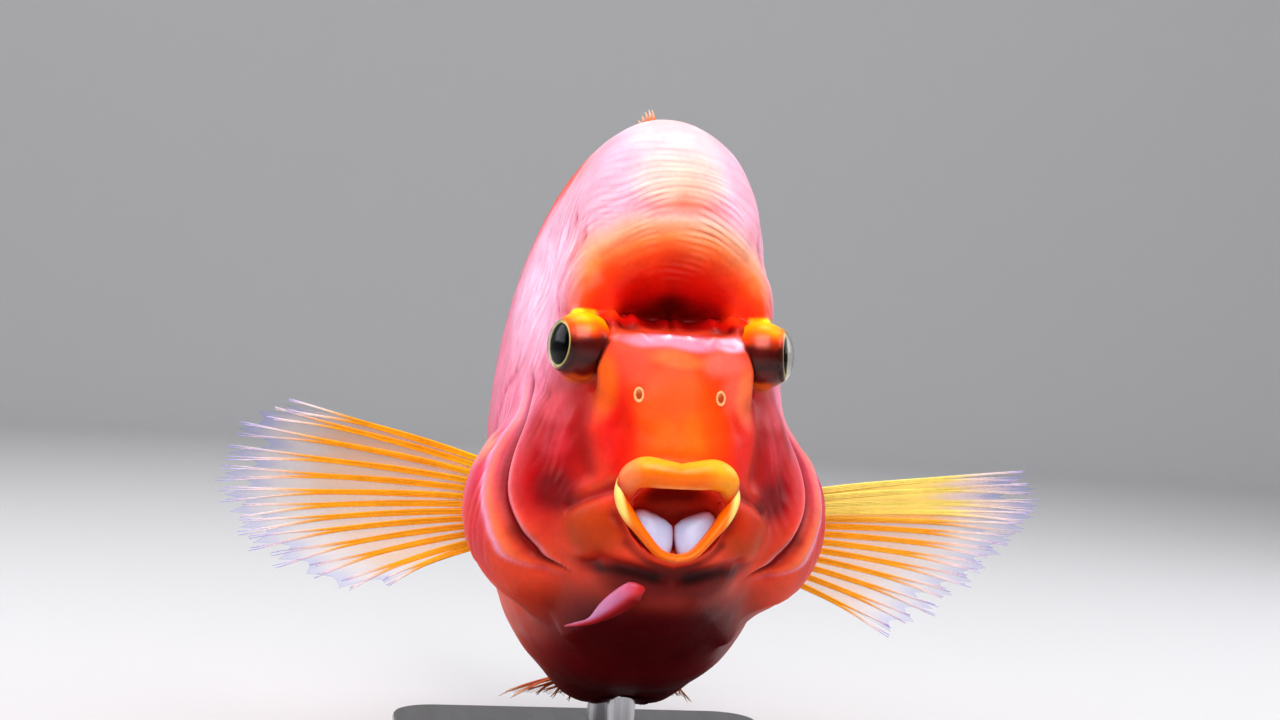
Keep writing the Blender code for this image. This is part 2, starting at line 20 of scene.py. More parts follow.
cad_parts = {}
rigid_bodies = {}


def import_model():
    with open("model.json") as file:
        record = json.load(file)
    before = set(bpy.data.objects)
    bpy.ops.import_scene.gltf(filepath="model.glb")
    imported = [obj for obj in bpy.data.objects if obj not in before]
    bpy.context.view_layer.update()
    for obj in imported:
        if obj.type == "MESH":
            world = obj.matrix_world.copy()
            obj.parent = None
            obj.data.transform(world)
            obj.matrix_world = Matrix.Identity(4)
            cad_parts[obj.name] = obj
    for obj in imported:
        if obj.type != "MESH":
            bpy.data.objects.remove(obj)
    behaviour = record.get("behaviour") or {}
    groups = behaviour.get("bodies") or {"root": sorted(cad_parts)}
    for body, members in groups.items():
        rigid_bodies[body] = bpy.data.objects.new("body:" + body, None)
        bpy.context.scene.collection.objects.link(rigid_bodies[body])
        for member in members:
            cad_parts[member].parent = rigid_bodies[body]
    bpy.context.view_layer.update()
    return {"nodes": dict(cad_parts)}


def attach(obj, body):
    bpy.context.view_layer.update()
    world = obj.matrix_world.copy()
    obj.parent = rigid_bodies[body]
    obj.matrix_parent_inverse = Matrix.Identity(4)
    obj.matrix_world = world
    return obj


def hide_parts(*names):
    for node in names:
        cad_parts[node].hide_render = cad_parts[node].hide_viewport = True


LOG = logging.getLogger("cichlid")
MM = 0.001
FISH_ORIGIN = np.array((0.0, -66.0, 64.0))  # the front of the mouth, from the middle of the stand
PAINT = "paint"  # the colour attribute that every finish reads
RUNS, LINES = "runs", "lines"  # how far across each kind of wrinkle a point lies, and how strong
BODY = "root"

Array = np.ndarray
Colour = tuple[float, float, float]
Point = tuple[float, float, float]


def to_world(points: Array) -> Array:
    """Places in metres in the frame of the solids."""
    return (np.asarray(points, float) + FISH_ORIGIN) * MM


def tone(red: int, green: int, blue: int) -> Colour:
    """A screen colour of 0 to 255 as the linear colour that shaders take."""
    return tuple(((c / 255 + 0.055) / 1.055) ** 2.4 if c > 10 else c / 3295 for c in (red, green, blue))


def eased(value: Array) -> Array:
    """0 below 0, 1 above 1 and a smooth rise between."""
    share = np.clip(value, 0, 1)
    return share * share * (3 - 2 * share)


def blend(first: Array, second: Array, reach: float) -> Array:
    """Two forms joined, with the corner between them rounded over the reach."""
    share = np.clip(0.5 + 0.5 * (second - first) / reach, 0, 1)
    return second * (1 - share) + first * share - reach * share * (1 - share)


def dug(form: Array, tool: Array, reach: float) -> Array:
    """A form with a tool's shape taken out of it, its rim rounded over the reach."""
    return -blend(-form, tool, reach)


def ellipsoid(points: Array, centre: Point, radii: Point, fullness: float = 2) -> Array:
    """How far each point lies outside an ellipsoid, or outside a squarer block.

    Args:
        points: Places, one a row.
        centre: The middle of the ellipsoid.
        radii: Its half sizes along X, Y and Z.
        fullness: 2 for an ellipsoid, and more for squarer corners.

    Returns:
        A distance for each point, negative inside.
    """
    radii = np.array(radii, float)
    share = np.abs(points - np.array(centre)) / radii + 1e-9
    ring = (share**fullness).sum(axis=1) ** (1 / fullness)
    steep = np.linalg.norm(share ** (fullness - 1) / radii, axis=1) * ring ** (1 - fullness)
    return (ring - 1) / steep


def nearness(points: Array, line: Sequence[Point], width: float) -> Array:
    """1 on a line through a few places, falling to 0 about two widths away from it.

    Args:
        points: Places, one a row.
        line: The line's corners, in order.
        width: How wide the line's trace is.

    Returns:
        A share for each point.
    """
    near = np.full(len(points), 1e9)
    for start, end in zip(np.array(line[:-1], float), np.array(line[1:], float)):
        way = end - start
        share = np.clip((points - start) @ way / (way @ way), 0, 1)
        near = np.minimum(near, ((points - start - share[:, None] * way) ** 2).sum(axis=1))
    return np.exp(-near / width**2)


def smooth_curve(knots: Array, values: Array, at: Array) -> Array:
    """A smooth curve through a few values, level past the end ones.

    Args:
        knots: Where the values are given, in rising order.
        values: The value at each knot.
        at: Where the curve is read.

    Returns:
        The curve's value at each place.
    """
    slopes = np.gradient(values, knots)
    at = np.clip(at, knots[0], knots[-1])
    cell = np.clip(np.searchsorted(knots, at) - 1, 0, len(knots) - 2)
    width = knots[cell + 1] - knots[cell]
    t = (at - knots[cell]) / width
    start = values[cell] * (1 + 2 * t) + slopes[cell] * width * t
    end = values[cell + 1] * (3 - 2 * t) - slopes[cell + 1] * width * (1 - t)
    return start * (1 - t) ** 2 + end * t**2


def unevenness(points: Array, size: float, seed: float = 0.0) -> Array:
    """Soft random hills and hollows from about -1 to 1, each about the given size across."""
    shift = Vector((seed, seed * 0.7, -seed * 1.3))
    return np.array([noise.noise(Vector(p) + shift) for p in np.asarray(points, float) / size])


@dataclass
class Flesh:
    """The fish's flesh as a form, which tells how far any place lies outside it."""

    # Place along the body, top of the back, widest height, underside and half width
    sections: tuple[tuple[float, ...], ...] = (
        (3, 9, 0, -8, 8.0),
        (8, 25, 5, -13, 12.5),
        (14, 40, 8, -19, 16.5),
        (22, 54, 9, -26, 20.5),
        (32, 64.5, 9, -33, 24),
        (45, 71, 8, -38, 27.5),
        (60, 72.5, 7, -40.5, 28.5),
        (80, 70.5, 8, -38, 26.5),
        (100, 62, 11, -30, 21),
        (120, 48, 15, -15, 13.5),
        (136, 36.5, 16, -3.5, 8.5),
        (150, 31, 16, 0.5, 5.5),
        (157, 31, 16, 1, 3.6),
        (161, 28, 16, 4, 1.8),
    )
    back_fullness: float = 1.85
    belly_fullness: float = 2.5
    cover_outline: tuple[Point, Point] = ((28, 1), (23.5, 25))
    cheek_outline: tuple[Point, Point] = ((19, 3), (16, 21))
    eye_centre: Point = (16.2, 17, 27.9)
    eye_axis: Point = (0.93, -0.35, 0.05)
    eye_cup: float = -2.6  # the flesh round the eye ends here, along the eye's axis
    eye_barrel: tuple[float, float] = (6.25, 1.0)  # its radius and the rounding of its rim
    cheek_rear: tuple[tuple[float, float], ...] = (  # height and place of the cheek plate's edge
        (-15, 12), (-12.5, 17), (-11, 19.8), (-8, 20.9), (-4.5, 21.8), (0.5, 23.6), (6, 25.4),
        (14, 28.6), (20.4, 31.4), (27, 34),
    )

    def section(self, at: Array) -> tuple[Array, Array, Array, Array]:
        """Top, widest height, underside and half width at places along the body."""
        place, *columns = np.array(self.sections, float).T
        return tuple(smooth_curve(place, column, at) for column in columns)

    def trunk(self, points: Array) -> Array:
        """How far each point lies outside the plain body."""
        top, widest, bottom, half_width = self.section(points[:, 1])
        above = points[:, 2] > widest
        n = np.where(above, self.back_fullness, self.belly_fullness)
        half_height = np.where(above, top - widest, widest - bottom)
        across = np.abs(points[:, 0]) / half_width + 1e-9
        up = np.abs(points[:, 2] - widest) / half_height + 1e-9
        ring = (across**n + up**n) ** (1 / n)
        steep = np.hypot(across ** (n - 1) / half_width, up ** (n - 1) / half_height)
        side = (ring - 1) / (steep * ring ** (1 - n))
        front, rear = self.sections[0][0], self.sections[-1][0]
        return np.maximum.reduce([side, front - points[:, 1], points[:, 1] - rear])

    @staticmethod
    def wall(points: Array, outline: tuple[Point, Point]) -> Array:
        """How far each point lies outside a wall on an oval of the side view."""
        (y, z), (back, up) = outline
        across, rise = (points[:, 1] - y) / back, (points[:, 2] - z) / up
        return (np.hypot(across, rise) - 1) * min(back, up)

    @staticmethod
    def cover_swelling(folded: Array) -> Array:
        """The rounded form of a gill cover."""
        return ellipsoid(folded, (17, 38, -3), (16.8, 18, 19))

    def from_eye(self, folded: Array) -> tuple[Array, Array]:
        """How far each point lies along the eye's axis and off it."""
        axis = np.array(self.eye_axis) / np.linalg.norm(self.eye_axis)
        offset = folded - np.array(self.eye_centre)
        along = offset @ axis
        return along, np.linalg.norm(offset - along[:, None] * axis, axis=1)

    def orbit(self, folded: Array) -> Array:
        """The barrel of flesh that carries the eye, with a soft rim round it."""
        along, off_axis = self.from_eye(folded)
        radius, rounding = self.eye_barrel
        aside = off_axis - radius + rounding
        ahead = along - self.eye_cup + rounding
        outside = np.hypot(np.maximum(aside, 0), np.maximum(ahead, 0))
        return outside + np.minimum(np.maximum(aside, ahead), 0) - rounding

    def behind_cheek(self, folded: Array) -> Array:
        """How far each point lies behind the rear edge of the cheek plate."""
        height, place = np.array(self.cheek_rear, float).T
        return folded[:, 1] - smooth_curve(height, place, folded[:, 2])

    def body(self, folded: Array) -> Array:
        """How far each point lies outside the flesh under the gill covers.

        Args:
            folded: Places with X made positive, because both halves are alike.

        Returns:
            A distance for each point, negative inside.
        """
        leaning = folded - 0.22 * (folded[:, 2:] - 14) * np.array((0, 1, 0))
        rising = folded + 0.6 * (folded[:, 1:2] - 8) * np.array((0, 0, 1))
        form = self.trunk(folded)
        form = blend(form, ellipsoid(folded, (0, 36, 48), (18.6, 25, 23.2)), 5)  # hump
        form = blend(form, ellipsoid(folded, (15, 26, 36), (4.5, 9, 8)), 4)  # brow
        form = dug(form, ellipsoid(rising, (0, 8, 39), (17, 16.5, 7)), 3)  # hollow
        face = ellipsoid(leaning, (0, 22, 14), (14.2, 17.5, 17.5), 3.2)
        form = blend(form, face, 1.2)
        form = blend(form, ellipsoid(leaning, (0, 17, 24.2), (15.1, 10.4, 6.7), 4.6), 1.8)
        form = blend(form, ellipsoid(folded, (11, 24.5, 12), (9.5, 13, 14)), 4)  # under the eye
        form = blend(form, ellipsoid(folded, (15.2, 22.5, 28), (5.8, 7.8, 7.4)), 1.5)
        form = blend(form, self.orbit(folded), 0.8)
        form = blend(form, ellipsoid(folded, (14.5, 33, 1), (13.5, 16, 18)), 5)  # cheeks
        form = blend(form, ellipsoid(folded, (9, 16.5, -3), (9, 10.5, 9.5)), 3)  # mouth pads
        form = blend(form, ellipsoid(folded, (0, 24, -12), (13, 18, 11)), 5)  # chin
        form = blend(form, ellipsoid(folded, (6, 65, -36.5), (6, 13, 6)), 6)  # pelvic roots
        start, end = np.array((4, 9.5, -12.5)), np.array((15, 27.5, -24))
        share = np.clip((folded - start) @ (end - start) / ((end - start) @ (end - start)), 0, 1)
        throat = np.linalg.norm(folded - start - share[:, None] * (end - start), axis=1) - 2
        form = blend(form, throat, 2)
        inner = np.maximum(self.cover_swelling(folded), self.wall(folded, self.cheek_outline) - 2.5)
        return blend(form, inner, 2)

    def skin(self, points: Array) -> Array:
        """How far each point lies outside the skin, with the gill covers standing on it."""
        folded = points * 1.0
        folded[:, 0] = np.abs(points[:, 0])
        bare = self.body(folded)
        covered = blend(bare, self.cover_swelling(folded), 3)
        share = eased(self.wall(folded, self.cover_outline) / 0.7 + 0.5)
        return covered * (1 - share) + bare * share


@dataclass
class SkinBall:
    """A ball whose points are pushed out along rays until they leave the flesh."""

    flesh: Flesh
    around: int = 400
    along: int = 245
    head_centre: Point = (0, 34, 27)
    tail_centre: Point = (0, 152, 16)
    head_share: float = 0.62
    tail_share: float = 0.94
    mouth_tilt: float = math.radians(42)
    step: float = 1.5
    steps: int = 76
    halvings: int = 12
    depth: float = 0.12  # the skin lies this far inside the solids

    def rays(self, ball: Array) -> tuple[Array, Array]:
        """Where each point of a unit ball starts inside the fish, and the way it is pushed.

        Args:
            ball: Points on a ball of radius 1.

        Returns:
            Start places and unit directions.
        """
        share = np.arccos(np.clip(ball[:, 2], -1, 1)) / math.pi
        turn = np.arctan2(ball[:, 1], ball[:, 0])
        head = np.clip(share / self.head_share, 0, 1)
        along = np.clip((share - self.head_share) / (self.tail_share - self.head_share), 0, 1)
        tail = np.clip((share - self.tail_share) / (1 - self.tail_share), 0, 1)
        centre, end = np.array(self.head_centre, float), np.array(self.tail_centre, float)
        start = centre + along[:, None] * (end - centre)
        fan = (head + tail) * math.pi / 2
        tilt = self.mouth_tilt * (1 - head)
        nose = np.stack([0 * tilt, -np.cos(tilt), -np.sin(tilt)], axis=1)
        upright = np.stack([0 * tilt, -np.sin(tilt), np.cos(tilt)], axis=1)
        side = np.cos(turn)[:, None] * np.array((1.0, 0, 0)) + np.sin(turn)[:, None] * upright
        return start, np.cos(fan)[:, None] * nose + np.sin(fan)[:, None] * side

    def leave(self, start: Array, way: Array) -> Array:
        """Where rays first leave the skin.

        Args:
            start: Places inside the flesh.
            way: The rays' unit directions.

        Returns:
            A place on the skin for each ray.
        """
        inner = np.zeros(len(start))
        inside = np.arange(len(start))
        while len(inside) and inner.max() < self.step * self.steps:
            ahead = inner[inside] + self.step
            held = self.flesh.skin(start[inside] + ahead[:, None] * way[inside]) < -self.depth
            inside = inside[held]
            inner[inside] += self.step
        outer = inner + self.step
        for _ in range(self.halvings):
            middle = (inner + outer) / 2
            outside = self.flesh.skin(start + middle[:, None] * way) >= -self.depth
            outer = np.where(outside, middle, outer)
            inner = np.where(outside, inner, middle)
        return start + inner[:, None] * way


class Wave(Enum):
    """Which way the wrinkles of a patch of skin run."""

    ARCHES = "arches over the hollow"
    UPRIGHT = "up and down the side"
    LEVEL = "along the body"


@dataclass(frozen=True)
class Wrinkles:
    """A patch of wrinkled skin."""

    centre: Point
    radii: Point
    wave: Wave
    pitch: float
    height: float
    wander: float = 1.0
    lines: float = 0.8  # how strongly the finish draws finer lines here

    def share(self, folded: Array) -> Array:
        """How much of the patch lies at each place."""
        offset = (folded - np.array(self.centre)) / np.array(self.radii)
        return np.sqrt(np.clip(1 - (offset**2).sum(axis=1), 0, 1))

    @staticmethod
    def run(wave: Wave, points: Array) -> tuple[Array, Array]:
        """How far each place lies across the wrinkles of a kind and along them."""
        x, y, z = points.T
        if wave is Wave.ARCHES:
            return np.hypot(x, (z - 28) * 1.1) + 0.15 * y, np.arctan2(z - 28, x) * 12
        return (y + 0.3 * z, z) if wave is Wave.UPRIGHT else (z + 0.2 * y, y)

    def relief(self, points: Array) -> Array:
        """How far the patch lifts or sinks each place.

        Args:
            points: Places on the skin, folded onto the fish's left.

        Returns:
            A height for each place.
        """
        found = np.zeros(len(points))
        share = self.share(points)
        near = share > 0
        run, cross = self.run(self.wave, points[near])
        stretched = np.stack([run, cross * 0.3, 0 * run], axis=1)
        run = run + unevenness(stretched, 4.5, self.pitch) * self.wander * 2.0
        ridge = np.abs(np.sin(run / self.pitch * math.pi)) ** 0.7 - 0.62
        broken = eased(0.6 + 1.3 * unevenness(stretched, 3.0, self.pitch + 7))
        found[near] = ridge * self.height * share[near] * broken
        return found


@dataclass(frozen=True)
class Crease:
    """A crease, or a fold, that follows a line through a few places."""

    line: tuple[Point, ...]
    depth: float  # negative lifts a fold
    width: float
    side: int = 0  # 1 is the fish's left, -1 its right and 0 both

    def trace(self, points: Array, folded: Array) -> Array:
        """1 on the crease, falling to 0 beside it."""
        found = nearness(folded, self.line, self.width)
        return found if self.side == 0 else found * (points[:, 0] * self.side > 0)


@dataclass
class Relief:
    """Everything that is finer than the forms of the flesh."""

    flesh: Flesh
    creases: tuple[Crease, ...] = (
        # Round the lips
        Crease(((11.0, 4.6, 5.6), (9.4, 3.0, 8.6), (7.0, 2.6, 10.0), (0, 2.3, 9.8)), 0.8, 0.9),
        Crease(((9.6, 4.8, 4.1), (11.8, 7.2, 3.5), (15.6, 10.8, 1.7), (18, 14, 0)), 1.0, 1.2),
        Crease(((10.8, 5.4, -0.8), (7.6, 4.8, -5.0), (3.6, 4.8, -8.6), (0, 5.0, -9.8)), 0.9, 1.0),
        # Beside the muzzle, from the eye down to the corner of the mouth
        Crease(((15.2, 12.4, 31), (15.2, 12.0, 25), (15.6, 13.2, 21)), 0.9, 0.8),
        Crease(((15.6, 13.2, 21), (16.6, 13.4, 13.5), (15.6, 11.6, 6.5)), 1.0, 2.8),
        Crease(((17.5, 15.9, 19.2), (21.5, 20, 12), (22.5, 20, 4)), 0.5, 2.2),
        Crease(((4.5, 6.6, 24.5), (5.8, 6.3, 22.0), (9.2, 6.8, 18.5), (10.5, 8, 14)), 0.22, 1.2),
        Crease(((5.2, 4.9, 13.5), (9.5, 6.5, 14.5)), 0.15, 1.6),
        # Under the chin, and the fold of the throat
        Crease(((1.4, 5.1, -11.5), (5.5, 6, -10.4), (12.2, 8.9, -8.9), (17.4, 17, -13.2),
                (21, 21, -12.6)), 0.9, 1.5),
        Crease(((24, 20, -7.5), (20.5, 18, -9.8), (16, 14, -10.6), (9, 9, -10.4)), 0.4, 1.5),
        # Lobes in the hollow beside each eye
        Crease(((11.0, 20, 31.5), (11.4, 20, 37)), -0.7, 2.2),
        # Folds that run up and back from the eye
        Crease(((20, 25.5, 33), (20.6, 28, 37), (18.4, 26, 43), (16.5, 23.5, 48)), 0.8, 0.9),
        Crease(((22, 29.5, 30), (22.4, 32, 37), (20.6, 31, 44), (17.5, 28, 51)), 0.7, 0.9),
        Crease(((22.5, 27.5, 22), (24.6, 33, 29), (24.6, 37, 38), (22.5, 37, 47)), 0.7, 1.1),
        Crease(((21.5, 24, 19), (24.5, 31, 21), (27.5, 40, 26), (28, 47, 36)), 0.6, 1.2),
    )
    wrinkles: tuple[Wrinkles, ...] = (
        Wrinkles((0, 12, 50), (22, 24, 9), Wave.ARCHES, 2.3, 0.42, 0.7, 1.2),
        Wrinkles((0, 20, 58), (20, 28, 10), Wave.ARCHES, 2.6, 0.22, 0.6, 0.6),
        Wrinkles((21, 29, 40), (9, 14, 24), Wave.UPRIGHT, 3.0, 0.42, 1.3, 0.9),
        Wrinkles((24, 45, 34), (12, 20, 32), Wave.UPRIGHT, 3.4, 0.36, 1.3, 0.7),
        Wrinkles((30, 36, -1), (9, 10, 20), Wave.UPRIGHT, 2.5, 0.42, 1.0, 0.8),
        Wrinkles((14, 30, -24), (14, 12, 10), Wave.LEVEL, 2.8, 0.12, 1.0, 0.0),
        Wrinkles((20, 19, 6), (8, 9, 13), Wave.UPRIGHT, 2.4, 0.14, 1.0, 0.3),
    )

    def cheek_edge(self, folded: Array) -> Array:
        """The raised rim of the cheek plate and the deep groove behind it."""
        behind = self.flesh.behind_cheek(folded)
        beside = eased((folded[:, 0] - 13) / 5) * eased((24 - folded[:, 2]) / 7)
        beside = beside * eased((folded[:, 2] + 13.5) / 5)
        rim = 0.3 * np.exp(-(((behind + 0.75) / 0.6) ** 2))
        groove = 1.5 * np.exp(-(((behind - 0.6) / 0.65) ** 2))
        strip = 0.45 * np.exp(-(((behind - 3.4) / 1.4) ** 2))
        return (rim - groove + strip) * beside

    def gill_seam(self, folded: Array) -> Array:
        """The groove that runs behind the gill cover."""
        beyond = self.flesh.wall(folded, self.flesh.cover_outline)
        return -0.7 * np.exp(-(((beyond - 0.5) / 0.6) ** 2)) * eased((folded[:, 1] - 36) / 8)

    def ledge(self, folded: Array) -> Array:
        """The crisp wavy lip on the ledge under the hump."""
        x, y, z = folded.T
        wavy = z - 30.2 - 0.5 * np.sin(x * 0.8 + 1) - 0.3 * np.sin(x * 2.1)
        line = np.exp(-((wavy / 0.55) ** 2)) * eased((15 - y) / 4)
        lip = 0.4 * line * eased((15 - x) / 3) * (0.6 + 0.4 * np.sin(x * 1.3))
        crest = eased((35.5 - z) / 2) * eased((z - 31.2) / 1) * eased((27 - y) / 6)
        return lip + 0.5 * crest * np.sin(x * 1.2 + 0.8 * np.sin(x * 0.7))

    def calm(self, folded: Array) -> Array:
        """How much of the wrinkles is left beside the smooth rim of the cheek plate."""
        near = np.exp(-(((self.flesh.behind_cheek(folded) - 0.5) / 3.6) ** 2))
        return 1 - near * eased((25 - folded[:, 2]) / 4)

    def put_lines(self, mesh: bpy.types.Mesh, points: Array) -> None:
        """Writes how far each point lies across each kind of wrinkle, and how strong it is there."""
        folded = np.abs(points * (1, 0, 0)) + points * (0, 1, 1)
        calm = self.calm(folded)
        for label, reading in (
            (RUNS, lambda wave: Wrinkles.run(wave, folded)[0] / 100),
            (LINES, lambda wave: np.max([
                patch.share(folded) * calm * patch.lines for patch in self.wrinkles if patch.wave is wave
            ], axis=0)),
        ):
            values = np.stack([reading(wave) for wave in Wave], axis=1).astype(np.float32)
            attribute = mesh.attributes.new(label, "FLOAT_VECTOR", "POINT")
            attribute.data.foreach_set("vector", values.ravel())

    def height(self, points: Array) -> Array:
        """How far each place on the skin is lifted.

        Args:
            points: Places on the smooth skin.

        Returns:
            A height for each place, negative where it sinks.
        """
        folded = points * 1.0
        folded[:, 0] = np.abs(points[:, 0])
        lifted = self.cheek_edge(folded) + self.ledge(folded) + self.gill_seam(folded)
        for crease in self.creases:
            lifted -= crease.depth * crease.trace(points, folded)
        calm = self.calm(folded)
        for patch in self.wrinkles:
            lifted += patch.relief(folded) * calm
        lifted += 0.12 * unevenness(points, 5.0, 11.0)
        return lifted


@dataclass(frozen=True)
class Patch:
    """A soft patch of colour on the skin."""

    colour: Colour
    centre: Point
    radii: Point
    strength: float = 1.0
    side: int = 0

    def cover(self, points: Array, folded: Array) -> Array:
        """How much of the patch's colour each place takes."""
        offset = (folded - np.array(self.centre)) / np.array(self.radii)
        share = eased(1.6 * (1 - np.sqrt((offset**2).sum(axis=1)))) * self.strength
        return share if self.side == 0 else share * (points[:, 0] * self.side > 0)


@dataclass(frozen=True)
class Streak:
    """A soft line of colour on the skin."""

    colour: Colour
    line: tuple[Point, ...]
    width: float
    strength: float = 1.0
    side: int = 0

    def cover(self, points: Array, folded: Array) -> Array:
        """How much of the streak's colour each place takes."""
        found = nearness(folded, self.line, self.width) * self.strength
        return found if self.side == 0 else found * (points[:, 0] * self.side > 0)


@dataclass(frozen=True)
class ArchedBands:
    """Bands of colour that arch over the hollow, from its dark inside, which is painted shade, to the pale
    brow, which is partly a painted highlight of the light from above.
    """

    stops: tuple[tuple[float, Colour], ...] = (
        (3, tone(120, 4, 4)),
        (7, tone(176, 8, 4)),
        (11, tone(214, 14, 4)),
        (15, tone(234, 34, 6)),
        (18.5, tone(242, 74, 18)),
        (21.5, tone(246, 122, 66)),
        (24.0, tone(248, 164, 128)),
        (27.0, tone(246, 190, 188)),
    )
    lean: float = 1.2  # the arches lean this far to the fish's right

    def cover(self, points: Array) -> tuple[Array, Array]:
        """How much of the bands each place takes, and their colour there."""
        x, y, z = points.T
        reach = np.hypot(x + self.lean * eased((z - 36) / 12), (z - 28) * 1.1)
        reach = reach + 0.9 * unevenness(points, 5.0, 31.0)
        at = np.array([stop for stop, _ in self.stops])
        shades = np.array([shade for _, shade in self.stops])
        colours = np.stack([np.interp(reach, at, shade) for shade in shades.T], axis=1)
        share = eased((z - 31.2) / 1.2) * eased((36 - y) / 6) * eased((29 - reach) / 4)
        share = share * eased((21 - np.abs(x) - 0.12 * (z - 31)) / 5)
        return share, colours


